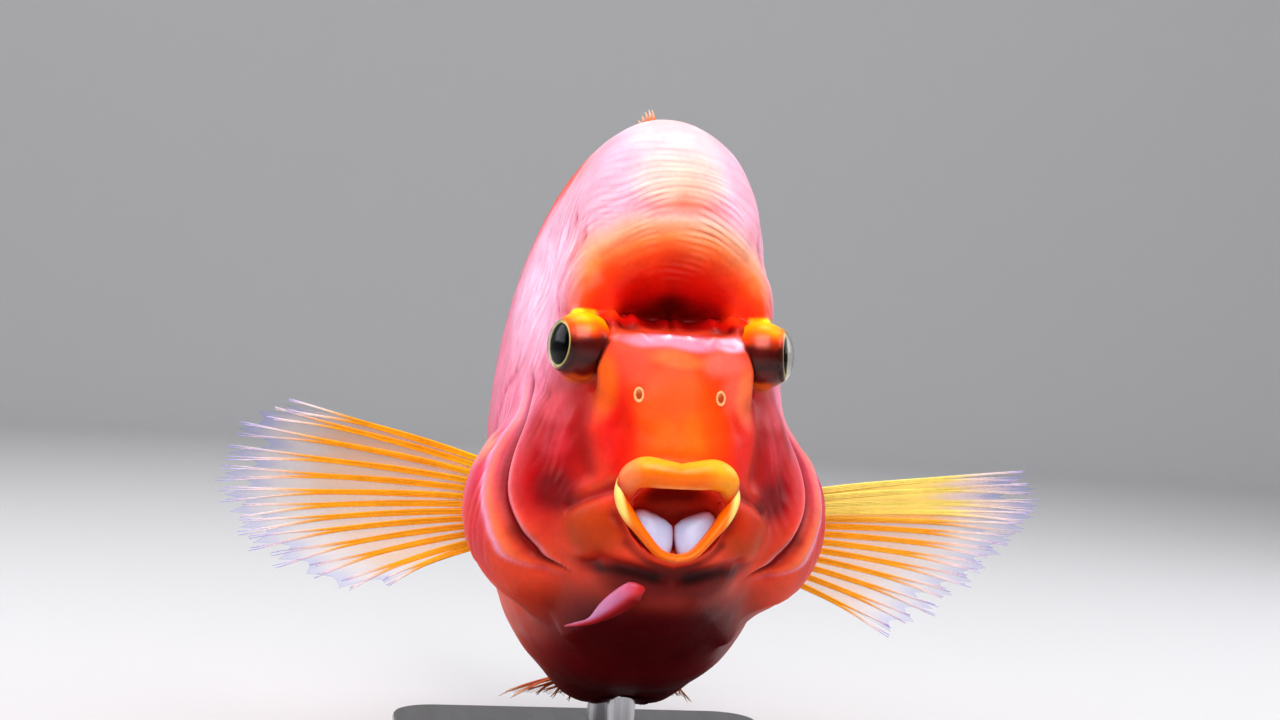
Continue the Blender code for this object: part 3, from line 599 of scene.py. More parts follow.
@dataclass
class Markings:
    """The fish's colours, painted in soft patches and streaks one over the other, with painted shade and
    painted highlights among them.
    """

    flesh: Flesh
    base: Colour = tone(234, 78, 46)
    paint: tuple[Patch | Streak | ArchedBands, ...] = (
        # Body and back
        Patch(tone(238, 104, 92), (26, 74, 26), (26, 76, 62), 0.6),
        Patch(tone(240, 138, 168), (26, 44, 30), (20, 44, 44), 0.95),
        # The paler patches on the upper flank, the hump and the top of the back are pale pink skin with a
        # painted highlight of the light from above
        Patch(tone(250, 200, 226), (24, 38, 48), (14, 30, 32), 0.8),
        Patch(tone(248, 204, 218), (0, 36, 74), (30, 42, 24), 1.0),
        Patch(tone(248, 178, 202), (14, 20, 60), (16, 22, 20), 0.9),
        Patch(tone(252, 214, 190), (3, 12, 59), (10, 12, 7), 0.5),
        Patch(tone(248, 208, 200), (0, 22, 68), (13, 24, 13), 0.45),
        Patch(tone(255, 232, 170), (0, 42, 74), (6, 18, 7), 0.4),
        # Hump and hollow
        ArchedBands(),
        # Face
        Patch(tone(224, 24, 12), (0, 8, 13), (23, 22, 19), 1.0),
        # The deep crimson on the sides of the head is the skin's red, deepened partly as painted shade
        Patch(tone(180, 6, 18), (20, 20, 8), (11, 14, 18), 1.0),
        Patch(tone(253, 84, 2), (1, 4, 16), (12, 14, 18), 1.0),
        # Painted shade: the muzzle's right side, away from the light, is painted a deeper red
        Patch(tone(214, 12, 2), (10.2, 6, 13.5), (4.2, 12, 9.5), 0.65, -1),
        Patch(tone(232, 30, 10), (12.4, 8, 10), (3.4, 12, 8), 0.6, 1),
        Patch(tone(255, 118, 8), (1.5, 2, 12), (5, 10, 7), 0.6),
        # Painted light: the muzzle's left side, lit from the right and above, is painted paler pink, with a
        # salmon painted highlight below the eye
        Patch(tone(255, 124, 110), (8.6, 8, 26.2), (5.5, 8, 3.6), 0.65, 1),
        Patch(tone(255, 112, 92), (10, 7, 21), (3.6, 7, 5), 0.55, 1),
        Patch(tone(255, 150, 84), (12.6, 9, 20.5), (3.4, 7, 7), 0.4, 1),
        # Painted shade: the muzzle's right side under the ledge is painted redder than its left, and the
        # orange-yellow patch under the right eye is a painted highlight on the muzzle's edge
        Patch(tone(250, 66, 40), (9.5, 9, 27), (5, 7, 3.4), 0.6, -1),
        Patch(tone(255, 128, 16), (13.4, 10.5, 21), (4.2, 7, 7), 0.5, -1),
        Patch(tone(255, 128, 56), (0, 8, 26.6), (7, 7, 2.2), 0.5),
        # Painted highlight: a pink-white band where the ledge's rounded top edge catches the light from above,
        # paler on the fish's left
        Patch(tone(244, 146, 176), (0, 10, 29.7), (15, 8, 1.8), 0.85),
        Patch(tone(246, 208, 240), (10, 11, 29.8), (3.6, 6, 2.0), 0.8, 1),
        # Painted shade in the hollow under the hump, darkest in its middle
        Patch(tone(150, 5, 6), (0, 24, 34), (15, 18, 5), 0.85),
        Patch(tone(84, 2, 4), (-1.5, 24, 36.5), (6.5, 16, 3.8), 0.85),
        Patch(tone(240, 52, 16), (11.6, 20, 34.5), (3.6, 9, 4.4), 0.85),
        Patch(tone(180, 62, 6), (13.8, 9, -3.4), (8.5, 12, 6.4), 0.92),
        Patch(tone(200, 36, 6), (13.5, 9, 0), (6, 12, 6), 0.5, 1),
        # Cheek plate and gill cover
        Patch(tone(240, 100, 112), (20.5, 18, 17), (4.6, 10, 5), 0.75),
        Patch(tone(222, 56, 72), (20.5, 18, 11), (4.5, 10, 4.5), 0.55),
        # Painted shade on the lower part of the cheek
        Patch(tone(122, 2, 8), (19.0, 18, 2.0), (6.5, 10, 5.5), 0.9),
        Streak(tone(222, 16, 16), ((25.6, 22, 8), (26.0, 20, 3), (24.8, 19, -2)), 1.5, 0.75),
        Patch(tone(206, 30, 70), (29, 32, 2), (8, 9, 22), 0.8),
        Patch(tone(240, 130, 176), (32, 44, 2), (7, 13, 21), 0.85),
        # A pale yellow painted highlight on the gill cover
        Patch(tone(255, 206, 150), (31, 36, 9), (5, 8, 6), 0.3),
        Patch(tone(246, 186, 226), (31, 41, -1), (6, 10, 9), 0.6, 1),
        # Throat and underside: dark maroon painted shade, under the chin and down to the bottom of the belly
        Patch(tone(122, 6, 16), (0, 30, -34), (38, 52, 28), 1.0),
        Patch(tone(84, 3, 10), (1, 22, -22), (25, 30, 15), 1.0),
        Patch(tone(92, 4, 10), (3, 8, -12.4), (14, 11, 5), 0.85),
        Patch(tone(78, 4, 14), (0, 50, -46), (30, 70, 20), 0.85),
        # Mouth
        Patch(tone(226, 62, 30), (0, 9, -1), (9.5, 7.2, 7.5), 1.0),
        # Painted shade under the upper lip, at the top of the inside of the mouth
        Patch(tone(130, 10, 4), (0, 9, 3.5), (9, 6.4, 3.2), 0.9),
        # Lines: the dark ones are painted shade behind the ledge, in the creases and under the lip and the
        # chin, the pale one is a painted highlight along the ledge's edge, and the reddish and orange ones are
        # colour
        Streak(tone(96, 4, 8), ((13, 15, 31.8), (0, 14, 32.2), (-13, 15, 31.8)), 1.2, 0.9),
        # Painted highlight along the ledge's edge
        Streak(tone(255, 206, 214), ((13.9, 11.6, 30.2), (7, 10.4, 30.9), (2, 10.2, 30.5),
                                     (-4, 10.2, 31.0), (-13.9, 11.6, 30.2)), 0.45, 0.9),
        Streak(tone(226, 70, 84), ((7.6, 10.4, 29.6), (9.8, 10.8, 29.4)), 0.6, 0.7, 1),
        # Painted shade in the groove between the eye and the muzzle, and in the crease at the corner of the
        # mouth
        Streak(tone(60, 2, 6), ((14.9, 14.4, 31), (14.6, 14.0, 26), (15.0, 14.4, 22.5)), 1.0, 0.85),
        Streak(tone(60, 2, 6), ((9.8, 5.0, 4.0), (11.8, 7.2, 3.3), (14.5, 10, 2.2)), 0.7, 0.7),
        Streak(tone(250, 128, 54), ((14.6, 10.4, 3.2), (12.2, 7.6, 4.2), (10.8, 5.2, 5.8)), 0.5, 0.6, -1),
        # Painted shade under the lower lip and in the crease under the chin
        Streak(tone(50, 1, 5), ((0, 5.0, -10.2), (3.6, 4.9, -9.2), (8.4, 5.4, -5.4)), 0.8, 0.6),
        Streak(tone(36, 1, 5), ((26, 22, -5.5), (23, 20, -8.2), (20.5, 18, -9.8), (16, 14, -10.6),
                                (9, 9, -10.4), (3, 6, -11.4)), 1.4, 0.9),
    )
    # Beside the cheek plate's rear edge: colour, place behind it, width and strength
    edge_lines: tuple[tuple[Colour, float, float, float], ...] = (
        (tone(240, 112, 66), 2.7, 0.7, 0.45),
        (tone(246, 176, 216), 4.4, 0.9, 0.5),
        # Painted shadow in the groove behind the edge, and a painted highlight on the rim in front of it
        (tone(70, 2, 12), 0.75, 0.75, 0.9),
        (tone(250, 150, 164), -0.5, 0.4, 0.7),
    )

    def at(self, points: Array, lifted: Array | None = None) -> Array:
        """The colour at each place on the skin.

        Args:
            points: Places on the skin.
            lifted: How far each place stands over the smooth skin, which paints shade into its grooves and a
                highlight onto its ridges.

        Returns:
            A colour for each place.
        """
        spots = points + unevenness(points, 7.0, 21.0)[:, None] * 1.0
        folded = spots * 1.0
        folded[:, 0] = np.abs(spots[:, 0])
        colours = np.tile(np.array(self.base), (len(points), 1))
        for layer in self.paint:
            if isinstance(layer, ArchedBands):
                share, shades = layer.cover(points)
                colours = colours * (1 - share[:, None]) + shades * share[:, None]
                continue
            where = folded if isinstance(layer, Patch) else np.abs(points * (1, 0, 0)) + points * (0, 1, 1)
            share = np.clip(layer.cover(points, where), 0, 1)[:, None]
            colours = colours * (1 - share) + np.array(layer.colour) * share
        plain = np.abs(points * (1, 0, 0)) + points * (0, 1, 1)
        colours = self.eye_flesh(self.cheek_lines(colours, plain), plain)
        if lifted is not None:
            # Painted shade in the sunken grooves and creases, and a painted highlight on the raised ridges
            groove = np.clip(-lifted / 1.2, 0, 1)[:, None]
            colours = colours * (1 - groove * np.array((0.45, 0.85, 0.75)))
            ridge = np.clip(lifted / 0.6, 0, 1)[:, None]
            colours = np.clip(colours * (1 + ridge * np.array((0.15, 0.9, 0.8))), 0, 1)
        return colours

    def cheek_lines(self, colours: Array, folded: Array) -> Array:
        """The pale line along the cheek plate's edge, a painted highlight on its rim, and behind it the dark
        one, a painted shadow in the groove, and the coloured ones.
        """
        behind = self.flesh.behind_cheek(folded)
        beside = eased((folded[:, 0] - 14) / 5) * eased((24 - folded[:, 2]) / 7)
        beside = beside * eased((folded[:, 2] + 14) / 5)
        for shade, place, width, strength in self.edge_lines:
            share = (strength * beside * np.exp(-(((behind - place) / width) ** 2)))[:, None]
            colours = colours * (1 - share) + np.array(shade) * share
        return colours

    def eye_flesh(self, colours: Array, folded: Array) -> Array:
        """Carries the eye's colours, with the painted highlight of its yellow top and the painted shade of its
        dark underside, onto the flesh round it.
        """
        along, off_axis = self.flesh.from_eye(folded)
        share = eased((7.0 - off_axis) / 0.6) * eased((along + 2.6) / 0.8)
        up = (folded[:, 2] - self.flesh.eye_centre[2]) / 6
        return colours * (1 - share[:, None]) + Eye.shade(up) * share[:, None]


def new_group(name: str, inputs: dict, outputs: dict) -> tuple[bpy.types.NodeTree, object, object]:
    """A shader node group with its sockets.

    Args:
        name: The group's name.
        inputs: Socket kinds by name, with their default values.
        outputs: Socket kinds by name.

    Returns:
        The group, its input node and its output node.
    """
    group = bpy.data.node_groups.new(name, "ShaderNodeTree")
    for label, (kind, value) in inputs.items():
        socket = group.interface.new_socket(label, in_out="INPUT", socket_type=kind)
        socket.default_value = value
    for label, kind in outputs.items():
        group.interface.new_socket(label, in_out="OUTPUT", socket_type=kind)
    entry = group.nodes.new("NodeGroupInput")
    leave = group.nodes.new("NodeGroupOutput")
    return group, entry, leave


def math_node(tree: bpy.types.NodeTree, operation: str, first: object, second: object) -> object:
    """A Math node's output, with sockets or numbers for its inputs."""
    node = tree.nodes.new("ShaderNodeMath")
    node.operation = operation
    for socket, value in zip(node.inputs, (first, second)):
        if isinstance(value, (int, float)):
            socket.default_value = value
        else:
            tree.links.new(value, socket)
    return node.outputs[0]


def texture(tree: bpy.types.NodeTree, kind: str, where: object, scale: float, **settings) -> object:
    """A texture node read at a socket's places, with a scale in features for each metre."""
    node = tree.nodes.new(kind)
    tree.links.new(where, node.inputs["Vector"])
    node.inputs["Scale"].default_value = scale
    for label, value in settings.items():
        node.inputs[label].default_value = value
    return node


class Shared:
    """Effects that several finishes use, each built once."""

    _groups: dict[str, bpy.types.NodeTree] = {}

    @classmethod
    def living_tone(cls) -> bpy.types.NodeTree:
        """Colour that varies as living skin does, with fine pores and folds as height."""
        if "living tone" in cls._groups:
            return cls._groups["living tone"]
        group, entry, leave = new_group(
            "living tone",
            {
                "Colour": ("NodeSocketColor", (1, 1, 1, 1)),
                "Mottle": ("NodeSocketFloat", 0.25),
                "Grain": ("NodeSocketFloat", 1.0),
            },
            {"Colour": "NodeSocketColor", "Roughness": "NodeSocketFloat", "Height": "NodeSocketFloat"},
        )
        where = group.nodes.new("ShaderNodeTexCoord").outputs["Object"]
        cloud = texture(group, "ShaderNodeTexNoise", where, 160, Detail=4.0, Roughness=0.6)
        fleck = texture(group, "ShaderNodeTexNoise", where, 900, Detail=2.0, Roughness=0.5)
        pores = texture(group, "ShaderNodeTexVoronoi", where, 1300)
        sum_ = math_node(group, "MULTIPLY", fleck.outputs["Fac"], 0.5)
        sum_ = math_node(group, "ADD", cloud.outputs["Fac"], sum_)
        centred = math_node(group, "SUBTRACT", sum_, 0.75)
        change = math_node(group, "MULTIPLY", centred, entry.outputs["Mottle"])
        bright = math_node(group, "ADD", math_node(group, "MULTIPLY", change, 2.0), 1.0)
        scaled = group.nodes.new("ShaderNodeVectorMath")
        scaled.operation = "SCALE"
        group.links.new(entry.outputs["Colour"], scaled.inputs[0])
        group.links.new(bright, scaled.inputs["Scale"])
        group.links.new(scaled.outputs[0], leave.inputs["Colour"])
        group.links.new(math_node(group, "MULTIPLY", cloud.outputs["Fac"], 0.5), leave.inputs["Roughness"])
        rise = math_node(group, "MULTIPLY", pores.outputs["Distance"], 0.35)
        rise = math_node(group, "ADD", rise, fleck.outputs["Fac"])
        group.links.new(math_node(group, "MULTIPLY", rise, entry.outputs["Grain"]), leave.inputs["Height"])
        cls._groups["living tone"] = group
        return group


    @classmethod
    def fold_lines(cls) -> bpy.types.NodeTree:
        """Fine broken lines that run along the wrinkles, as height and as colour: painted shade in their
        troughs and a pale painted highlight on their crests.
        """
        if "fold lines" in cls._groups:
            return cls._groups["fold lines"]
        group, entry, leave = new_group(
            "fold lines",
            {
                "Colour": ("NodeSocketColor", (1, 1, 1, 1)),
                "Runs": ("NodeSocketVector", (0, 0, 0)),
                "Lines": ("NodeSocketVector", (0, 0, 0)),
            },
            {"Colour": "NodeSocketColor", "Height": "NodeSocketFloat"},
        )
        where = group.nodes.new("ShaderNodeTexCoord").outputs["Object"]
        drift = texture(group, "ShaderNodeTexNoise", where, 55, Detail=1.0, Roughness=0.4)
        breaks = texture(group, "ShaderNodeTexNoise", where, 95, Detail=2.0, Roughness=0.5)
        drifted = math_node(group, "MULTIPLY", drift.outputs["Fac"], 9.0)
        broken = group.nodes.new("ShaderNodeMapRange")
        broken.inputs["From Min"].default_value = 0.42
        broken.inputs["From Max"].default_value = 0.68
        group.links.new(breaks.outputs["Fac"], broken.inputs["Value"])
        runs = group.nodes.new("ShaderNodeSeparateXYZ")
        lines = group.nodes.new("ShaderNodeSeparateXYZ")
        group.links.new(entry.outputs["Runs"], runs.inputs[0])
        group.links.new(entry.outputs["Lines"], lines.inputs[0])
        total = None
        for axis, pitch in zip("XYZ", (1.3, 1.9, 2.1)):
            across = math_node(group, "MULTIPLY", runs.outputs[axis], 100 / pitch)
            phase = math_node(group, "ADD", across, math_node(group, "DIVIDE", drifted, pitch))
            angle = math_node(group, "MULTIPLY", phase, math.pi)
            ridge = math_node(group, "ABSOLUTE", math_node(group, "SINE", angle, 0.0), 0.0)
            ridge = math_node(group, "POWER", ridge, 0.8)
            centred = math_node(group, "SUBTRACT", ridge, 0.6)
            held = math_node(group, "MULTIPLY", centred, lines.outputs[axis])
            total = held if total is None else math_node(group, "ADD", total, held)
        total = math_node(group, "MULTIPLY", total, broken.outputs["Result"])
        # Painted shade darkens the lines' troughs and painted light brightens their crests
        bright = math_node(group, "ADD", math_node(group, "MULTIPLY", total, 0.55), 1.0)
        shaded = group.nodes.new("ShaderNodeVectorMath")
        shaded.operation = "SCALE"
        group.links.new(entry.outputs["Colour"], shaded.inputs[0])
        group.links.new(bright, shaded.inputs["Scale"])
        # A pale painted highlight laid on the crests
        pale = group.nodes.new("ShaderNodeMix")
        pale.data_type = "RGBA"
        pale.inputs[7].default_value = (1.0, 0.72, 0.66, 1)
        group.links.new(shaded.outputs[0], pale.inputs[6])
        crest = math_node(group, "MAXIMUM", total, 0.0)
        group.links.new(math_node(group, "MULTIPLY", crest, 0.55), pale.inputs[0])
        group.links.new(pale.outputs[2], leave.inputs["Colour"])
        group.links.new(total, leave.inputs["Height"])
        cls._groups["fold lines"] = group
        return group


@dataclass(frozen=True)
class Living:
    """The finish of living tissue: painted, wet and a little translucent."""

    name: str
    roughness: float = 0.46
    gloss: float = 0.22
    mottle: float = 0.22
    grain: float = 1.0
    bump: float = 0.12
    coat: float = 0.05
    depth: float = 0.0025  # how far light wanders under the surface, in metres
    translucence: float = 0.2
    alpha: float = 1.0
    folds: float = 0.0  # height of the fine fold lines, in metres

    def material(self) -> bpy.types.Material:
        """The finish as a material that reads the paint attribute."""
        made = bpy.data.materials.new(self.name)
        made.use_nodes = True
        tree = made.node_tree
        shader = tree.nodes["Principled BSDF"]
        paint = tree.nodes.new("ShaderNodeAttribute")
        paint.attribute_name = PAINT
        group = tree.nodes.new("ShaderNodeGroup")
        group.node_tree = Shared.living_tone()
        group.inputs["Mottle"].default_value = self.mottle
        group.inputs["Grain"].default_value = self.grain
        painted, lines_normal = paint.outputs["Color"], None
        if self.folds:
            lines = tree.nodes.new("ShaderNodeGroup")
            lines.node_tree = Shared.fold_lines()
            for label in (RUNS, LINES):
                reader = tree.nodes.new("ShaderNodeAttribute")
                reader.attribute_name = label
                tree.links.new(reader.outputs["Vector"], lines.inputs[label.capitalize()])
            tree.links.new(painted, lines.inputs["Colour"])
            painted = lines.outputs["Colour"]
            fold = tree.nodes.new("ShaderNodeBump")
            fold.inputs["Strength"].default_value = 1.0
            fold.inputs["Distance"].default_value = self.folds
            tree.links.new(lines.outputs["Height"], fold.inputs["Height"])
            lines_normal = fold.outputs["Normal"]
        tree.links.new(painted, group.inputs["Colour"])
        tree.links.new(group.outputs["Colour"], shader.inputs["Base Color"])
        rough = math_node(tree, "ADD", group.outputs["Roughness"], self.roughness - 0.25)
        tree.links.new(rough, shader.inputs["Roughness"])
        bump = tree.nodes.new("ShaderNodeBump")
        bump.inputs["Strength"].default_value = self.bump
        bump.inputs["Distance"].default_value = 0.0004
        tree.links.new(group.outputs["Height"], bump.inputs["Height"])
        if lines_normal:
            tree.links.new(lines_normal, bump.inputs["Normal"])
        tree.links.new(bump.outputs["Normal"], shader.inputs["Normal"])
        shader.inputs["Specular IOR Level"].default_value = self.gloss
        shader.inputs["Coat Weight"].default_value = self.coat
        shader.inputs["Coat Roughness"].default_value = 0.22
        shader.inputs["Subsurface Weight"].default_value = self.translucence
        shader.inputs["Subsurface Radius"].default_value = (1.0, 0.35, 0.2)
        shader.inputs["Subsurface Scale"].default_value = self.depth
        if self.alpha < 1:
            tree.links.new(math_node(tree, "MULTIPLY", paint.outputs["Alpha"], self.alpha),
                           shader.inputs["Alpha"])
        return made


@dataclass(frozen=True)
class Plain:
    """A finish of one colour with a fine grain, such as lacquer or steel."""

    name: str
    colour: Colour
    roughness: float
    metallic: float = 0.0
    coat: float = 0.0
    stretch: Point = (1, 1, 1)
    transmission: float = 0.0
    ior: float = 1.45
    grain: float = 0.25
    gloss: float = 0.5

    def material(self) -> bpy.types.Material:
        """The finish as a material on object coordinates."""
        made = bpy.data.materials.new(self.name)
        made.use_nodes = True
        tree = made.node_tree
        shader = tree.nodes["Principled BSDF"]
        place = tree.nodes.new("ShaderNodeTexCoord").outputs["Object"]
        mapping = tree.nodes.new("ShaderNodeMapping")
        mapping.inputs["Scale"].default_value = self.stretch
        tree.links.new(place, mapping.inputs["Vector"])
        grain = texture(tree, "ShaderNodeTexNoise", mapping.outputs[0], 220, Detail=5.0)
        ramp = tree.nodes.new("ShaderNodeValToRGB")
        low, high = 1 - self.grain, 1 + self.grain
        ramp.color_ramp.elements[0].color = (*(c * low for c in self.colour), 1)
        ramp.color_ramp.elements[1].color = (*(min(1.0, c * high) for c in self.colour), 1)
        tree.links.new(grain.outputs["Fac"], ramp.inputs["Fac"])
        tree.links.new(ramp.outputs["Color"], shader.inputs["Base Color"])
        rough = math_node(tree, "MULTIPLY", grain.outputs["Fac"], 0.16)
        tree.links.new(math_node(tree, "ADD", rough, self.roughness - 0.08), shader.inputs["Roughness"])
        shader.inputs["Metallic"].default_value = self.metallic
        shader.inputs["Coat Weight"].default_value = self.coat
        shader.inputs["Coat Roughness"].default_value = 0.08
        shader.inputs["Transmission Weight"].default_value = self.transmission
        shader.inputs["IOR"].default_value = self.ior
        shader.inputs["Specular IOR Level"].default_value = self.gloss
        return made


def put_paint(mesh: bpy.types.Mesh, colours: Array) -> None:
    """Writes a colour of three or four parts for each of a mesh's points."""
    full = np.ones((len(mesh.vertices), 4), np.float32)
    full[:, : colours.shape[1]] = colours
    attribute = mesh.color_attributes.new(PAINT, "FLOAT_COLOR", "POINT")
    attribute.data.foreach_set("color", full.ravel())


def place_piece(
    mesh: bpy.types.Mesh,
    name: str,
    material: bpy.types.Material,
    replaced: Sequence[str] = (),
) -> bpy.types.Object:
    """Puts a finished mesh in the scene as a piece of the fish.

    Args:
        mesh: The mesh, already in metres in the frame of the solids.
        name: The piece's name.
        material: Its material.
        replaced: The solids that it is shown in place of.

    Returns:
        The piece's object.
    """
    mesh.materials.append(material)
    mesh.polygons.foreach_set("use_smooth", [True] * len(mesh.polygons))
    obj = bpy.data.objects.new(name, mesh)
    bpy.context.scene.collection.objects.link(obj)
    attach(obj, BODY)
    if replaced:
        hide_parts(*replaced)
    LOG.info("%s: %d faces", name, len(mesh.polygons))
    return obj


def mesh_from(bm: bmesh.types.BMesh, name: str) -> bpy.types.Mesh:
    """A mesh from a bmesh, which is then freed."""
    mesh = bpy.data.meshes.new(name)
    bm.to_mesh(mesh)
    bm.free()
    return mesh


def repeated(bm: bmesh.types.BMesh, count: int, name: str) -> bpy.types.Mesh:
    """One mesh that holds a shape many times, copy after copy."""
    seed = bpy.data.objects.new(name, mesh_from(bm, name))
    bpy.context.scene.collection.objects.link(seed)
    row = seed.modifiers.new("row", "ARRAY")
    row.count = count
    row.use_relative_offset = False
    row.use_constant_offset = True
    row.constant_offset_displace = (0, 0, 0)
    graph = bpy.context.evaluated_depsgraph_get()
    mesh = bpy.data.meshes.new_from_object(seed.evaluated_get(graph))
    bpy.data.meshes.remove(seed.data)
    mesh.name = name
    return mesh


def coordinates(mesh: bpy.types.Mesh) -> Array:
    """The places of a mesh's points."""
    found = np.zeros(len(mesh.vertices) * 3, np.float32)
    mesh.vertices.foreach_get("co", found)
    return found.reshape(-1, 3).astype(float)


def set_coordinates(mesh: bpy.types.Mesh, places: Array) -> None:
    """Moves a mesh's points."""
    mesh.vertices.foreach_set("co", np.asarray(places, np.float32).ravel())
    mesh.update()


@dataclass
class Skin:
    """The one skin of head, gill covers, body and tail stalk."""

    flesh: Flesh
    markings: Markings
    mouth: Point = (0, 1.5, -1)
    mouth_radii: Point = (8.8, 9, 6.6)
    smoothing: int = 10  # passes that even the mesh of the throat
    replaced: tuple[str, ...] = ("head", "torso", "tail_stalk", "gill_cover_left", "gill_cover_right")

    def open_mouth(self, points: Array) -> Array:
        """Presses the skin between the lips back into the mouth."""
        offset = (points - np.array(self.mouth)) / np.array(self.mouth_radii)
        ring = offset[:, 0] ** 2 + offset[:, 2] ** 2
        depth = self.mouth[1] + self.mouth_radii[1] * np.sqrt(np.clip(1 - ring, 0, 1)) ** 0.8
        inside = (ring < 1) & (points[:, 1] < 20)
        moved = points * 1.0
        moved[inside, 1] = np.maximum(points[inside, 1], depth[inside])
        return moved

    def build(self, material: bpy.types.Material) -> bpy.types.Object:
        """Models, paints and places the skin."""
        ball = SkinBall(self.flesh)
        bm = bmesh.new()
        bmesh.ops.create_uvsphere(bm, u_segments=ball.around, v_segments=ball.along, radius=1.0)
        places = ball.leave(*ball.rays(np.array([v.co for v in bm.verts])))
        for vert, place in zip(bm.verts, places):
            vert.co = place
        x, y, z = places.T
        throat = (z < -10.5) & (y < 34) & (np.abs(x) < 24)
        loose = [vert for vert, inside in zip(bm.verts, throat) if inside]
        for _ in range(self.smoothing):
            bmesh.ops.smooth_vert(
                bm, verts=loose, factor=0.5, use_axis_x=True, use_axis_y=True, use_axis_z=True
            )
        places = np.array([v.co for v in bm.verts])
        bmesh.ops.recalc_face_normals(bm, faces=bm.faces)
        bm.normal_update()
        normals = np.array([v.normal for v in bm.verts])
        lifted = Relief(self.flesh).height(places)
        mesh = mesh_from(bm, "skin")
        opened = self.open_mouth(places + normals * lifted[:, None])
        set_coordinates(mesh, to_world(opened))
        put_paint(mesh, self.markings.at(opened, lifted))
        Relief(self.flesh).put_lines(mesh, opened)
        return place_piece(mesh, "skin", material, self.replaced)


def swept(line: Array, sides: int, ends: float) -> bmesh.types.BMesh:
    """A closed tube swept through a line of rings.

    Args:
        line: Aside, back, up, half height and half depth of each ring.
        sides: How many sides the tube has.
        ends: How many rings the tube takes to narrow at either end.

    Returns:
        The tube.
    """
    bm = bmesh.new()
    for index, (x, y, z, high, deep) in enumerate(line):
        before, after = line[max(index - 1, 0)], line[min(index + 1, len(line) - 1)]
        way = Vector((after - before)[:3]).normalized()
        up = way.cross(Vector((0, 1, 0))).normalized()
        back = up.cross(way).normalized()
        taper = math.sqrt(min(1.0, 0.15 + min(index, len(line) - 1 - index) / ends))
        turned = Matrix((up * high * taper, back * deep * taper, way)).transposed().to_4x4()
        matrix = Matrix.Translation((x, y, z)) @ turned
        bmesh.ops.create_circle(bm, segments=sides, radius=1.0, matrix=matrix)
    rings = [list(bm.verts)[i : i + sides] for i in range(0, len(bm.verts), sides)]
    bmesh.ops.bridge_loops(bm, edges=bm.edges[:])
    for ring in (rings[0], rings[-1]):
        bmesh.ops.contextual_create(bm, geom=ring)
    bmesh.ops.recalc_face_normals(bm, faces=bm.faces)
    return bm


@dataclass
class ThroatFold:
    """The folded edge of skin that hangs on the fish's right, under the chin."""

    # Aside, back, up, half height and half depth, from its round head to its thin end
    line: tuple[tuple[float, ...], ...] = (
        (-4.4, 6.9, -13.1, 1.3, 0.9),
        (-6.3, 7.9, -14.3, 2.1, 1.2),
        (-8.5, 12.6, -17.0, 2.1, 1.2),
        (-11.0, 19.4, -20.2, 1.3, 1.0),
        (-13.2, 22.8, -21.7, 0.8, 0.8),
        (-15.5, 25.6, -22.8, 0.4, 0.6),
    )
    sides: int = 24
    steps: int = 60

    def build(self, material: bpy.types.Material) -> bpy.types.Object:
        """Models, paints and places the fold."""
        knots = np.array(self.line)
        at = np.linspace(0, 1, self.steps + 1)
        line = np.stack([smooth_curve(np.linspace(0, 1, len(knots)), c, at) for c in knots.T], axis=1)
        mesh = mesh_from(swept(line, self.sides, 12), "throat_fold")
        places = coordinates(mesh)
        along = np.interp(-places[:, 0], -line[:, 0], at)
        above = places[:, 2] - np.interp(along, at, line[:, 2])
        # Lilac on the fold's upper side is a painted highlight, and below its middle line the fold is darkened
        # with painted shade
        red, lilac_highlight = np.array(tone(206, 44, 50)), np.array(tone(226, 150, 196))
        share = (eased(along / 0.7) * eased(above / 1.4 + 0.35))[:, None]
        colours = red * (1 - share) + lilac_highlight * share
        colours = colours * (1 - 0.55 * eased(-above / 1.6))[:, None]
        set_coordinates(mesh, to_world(places))
        put_paint(mesh, colours)
        return place_piece(mesh, mesh.name, material)


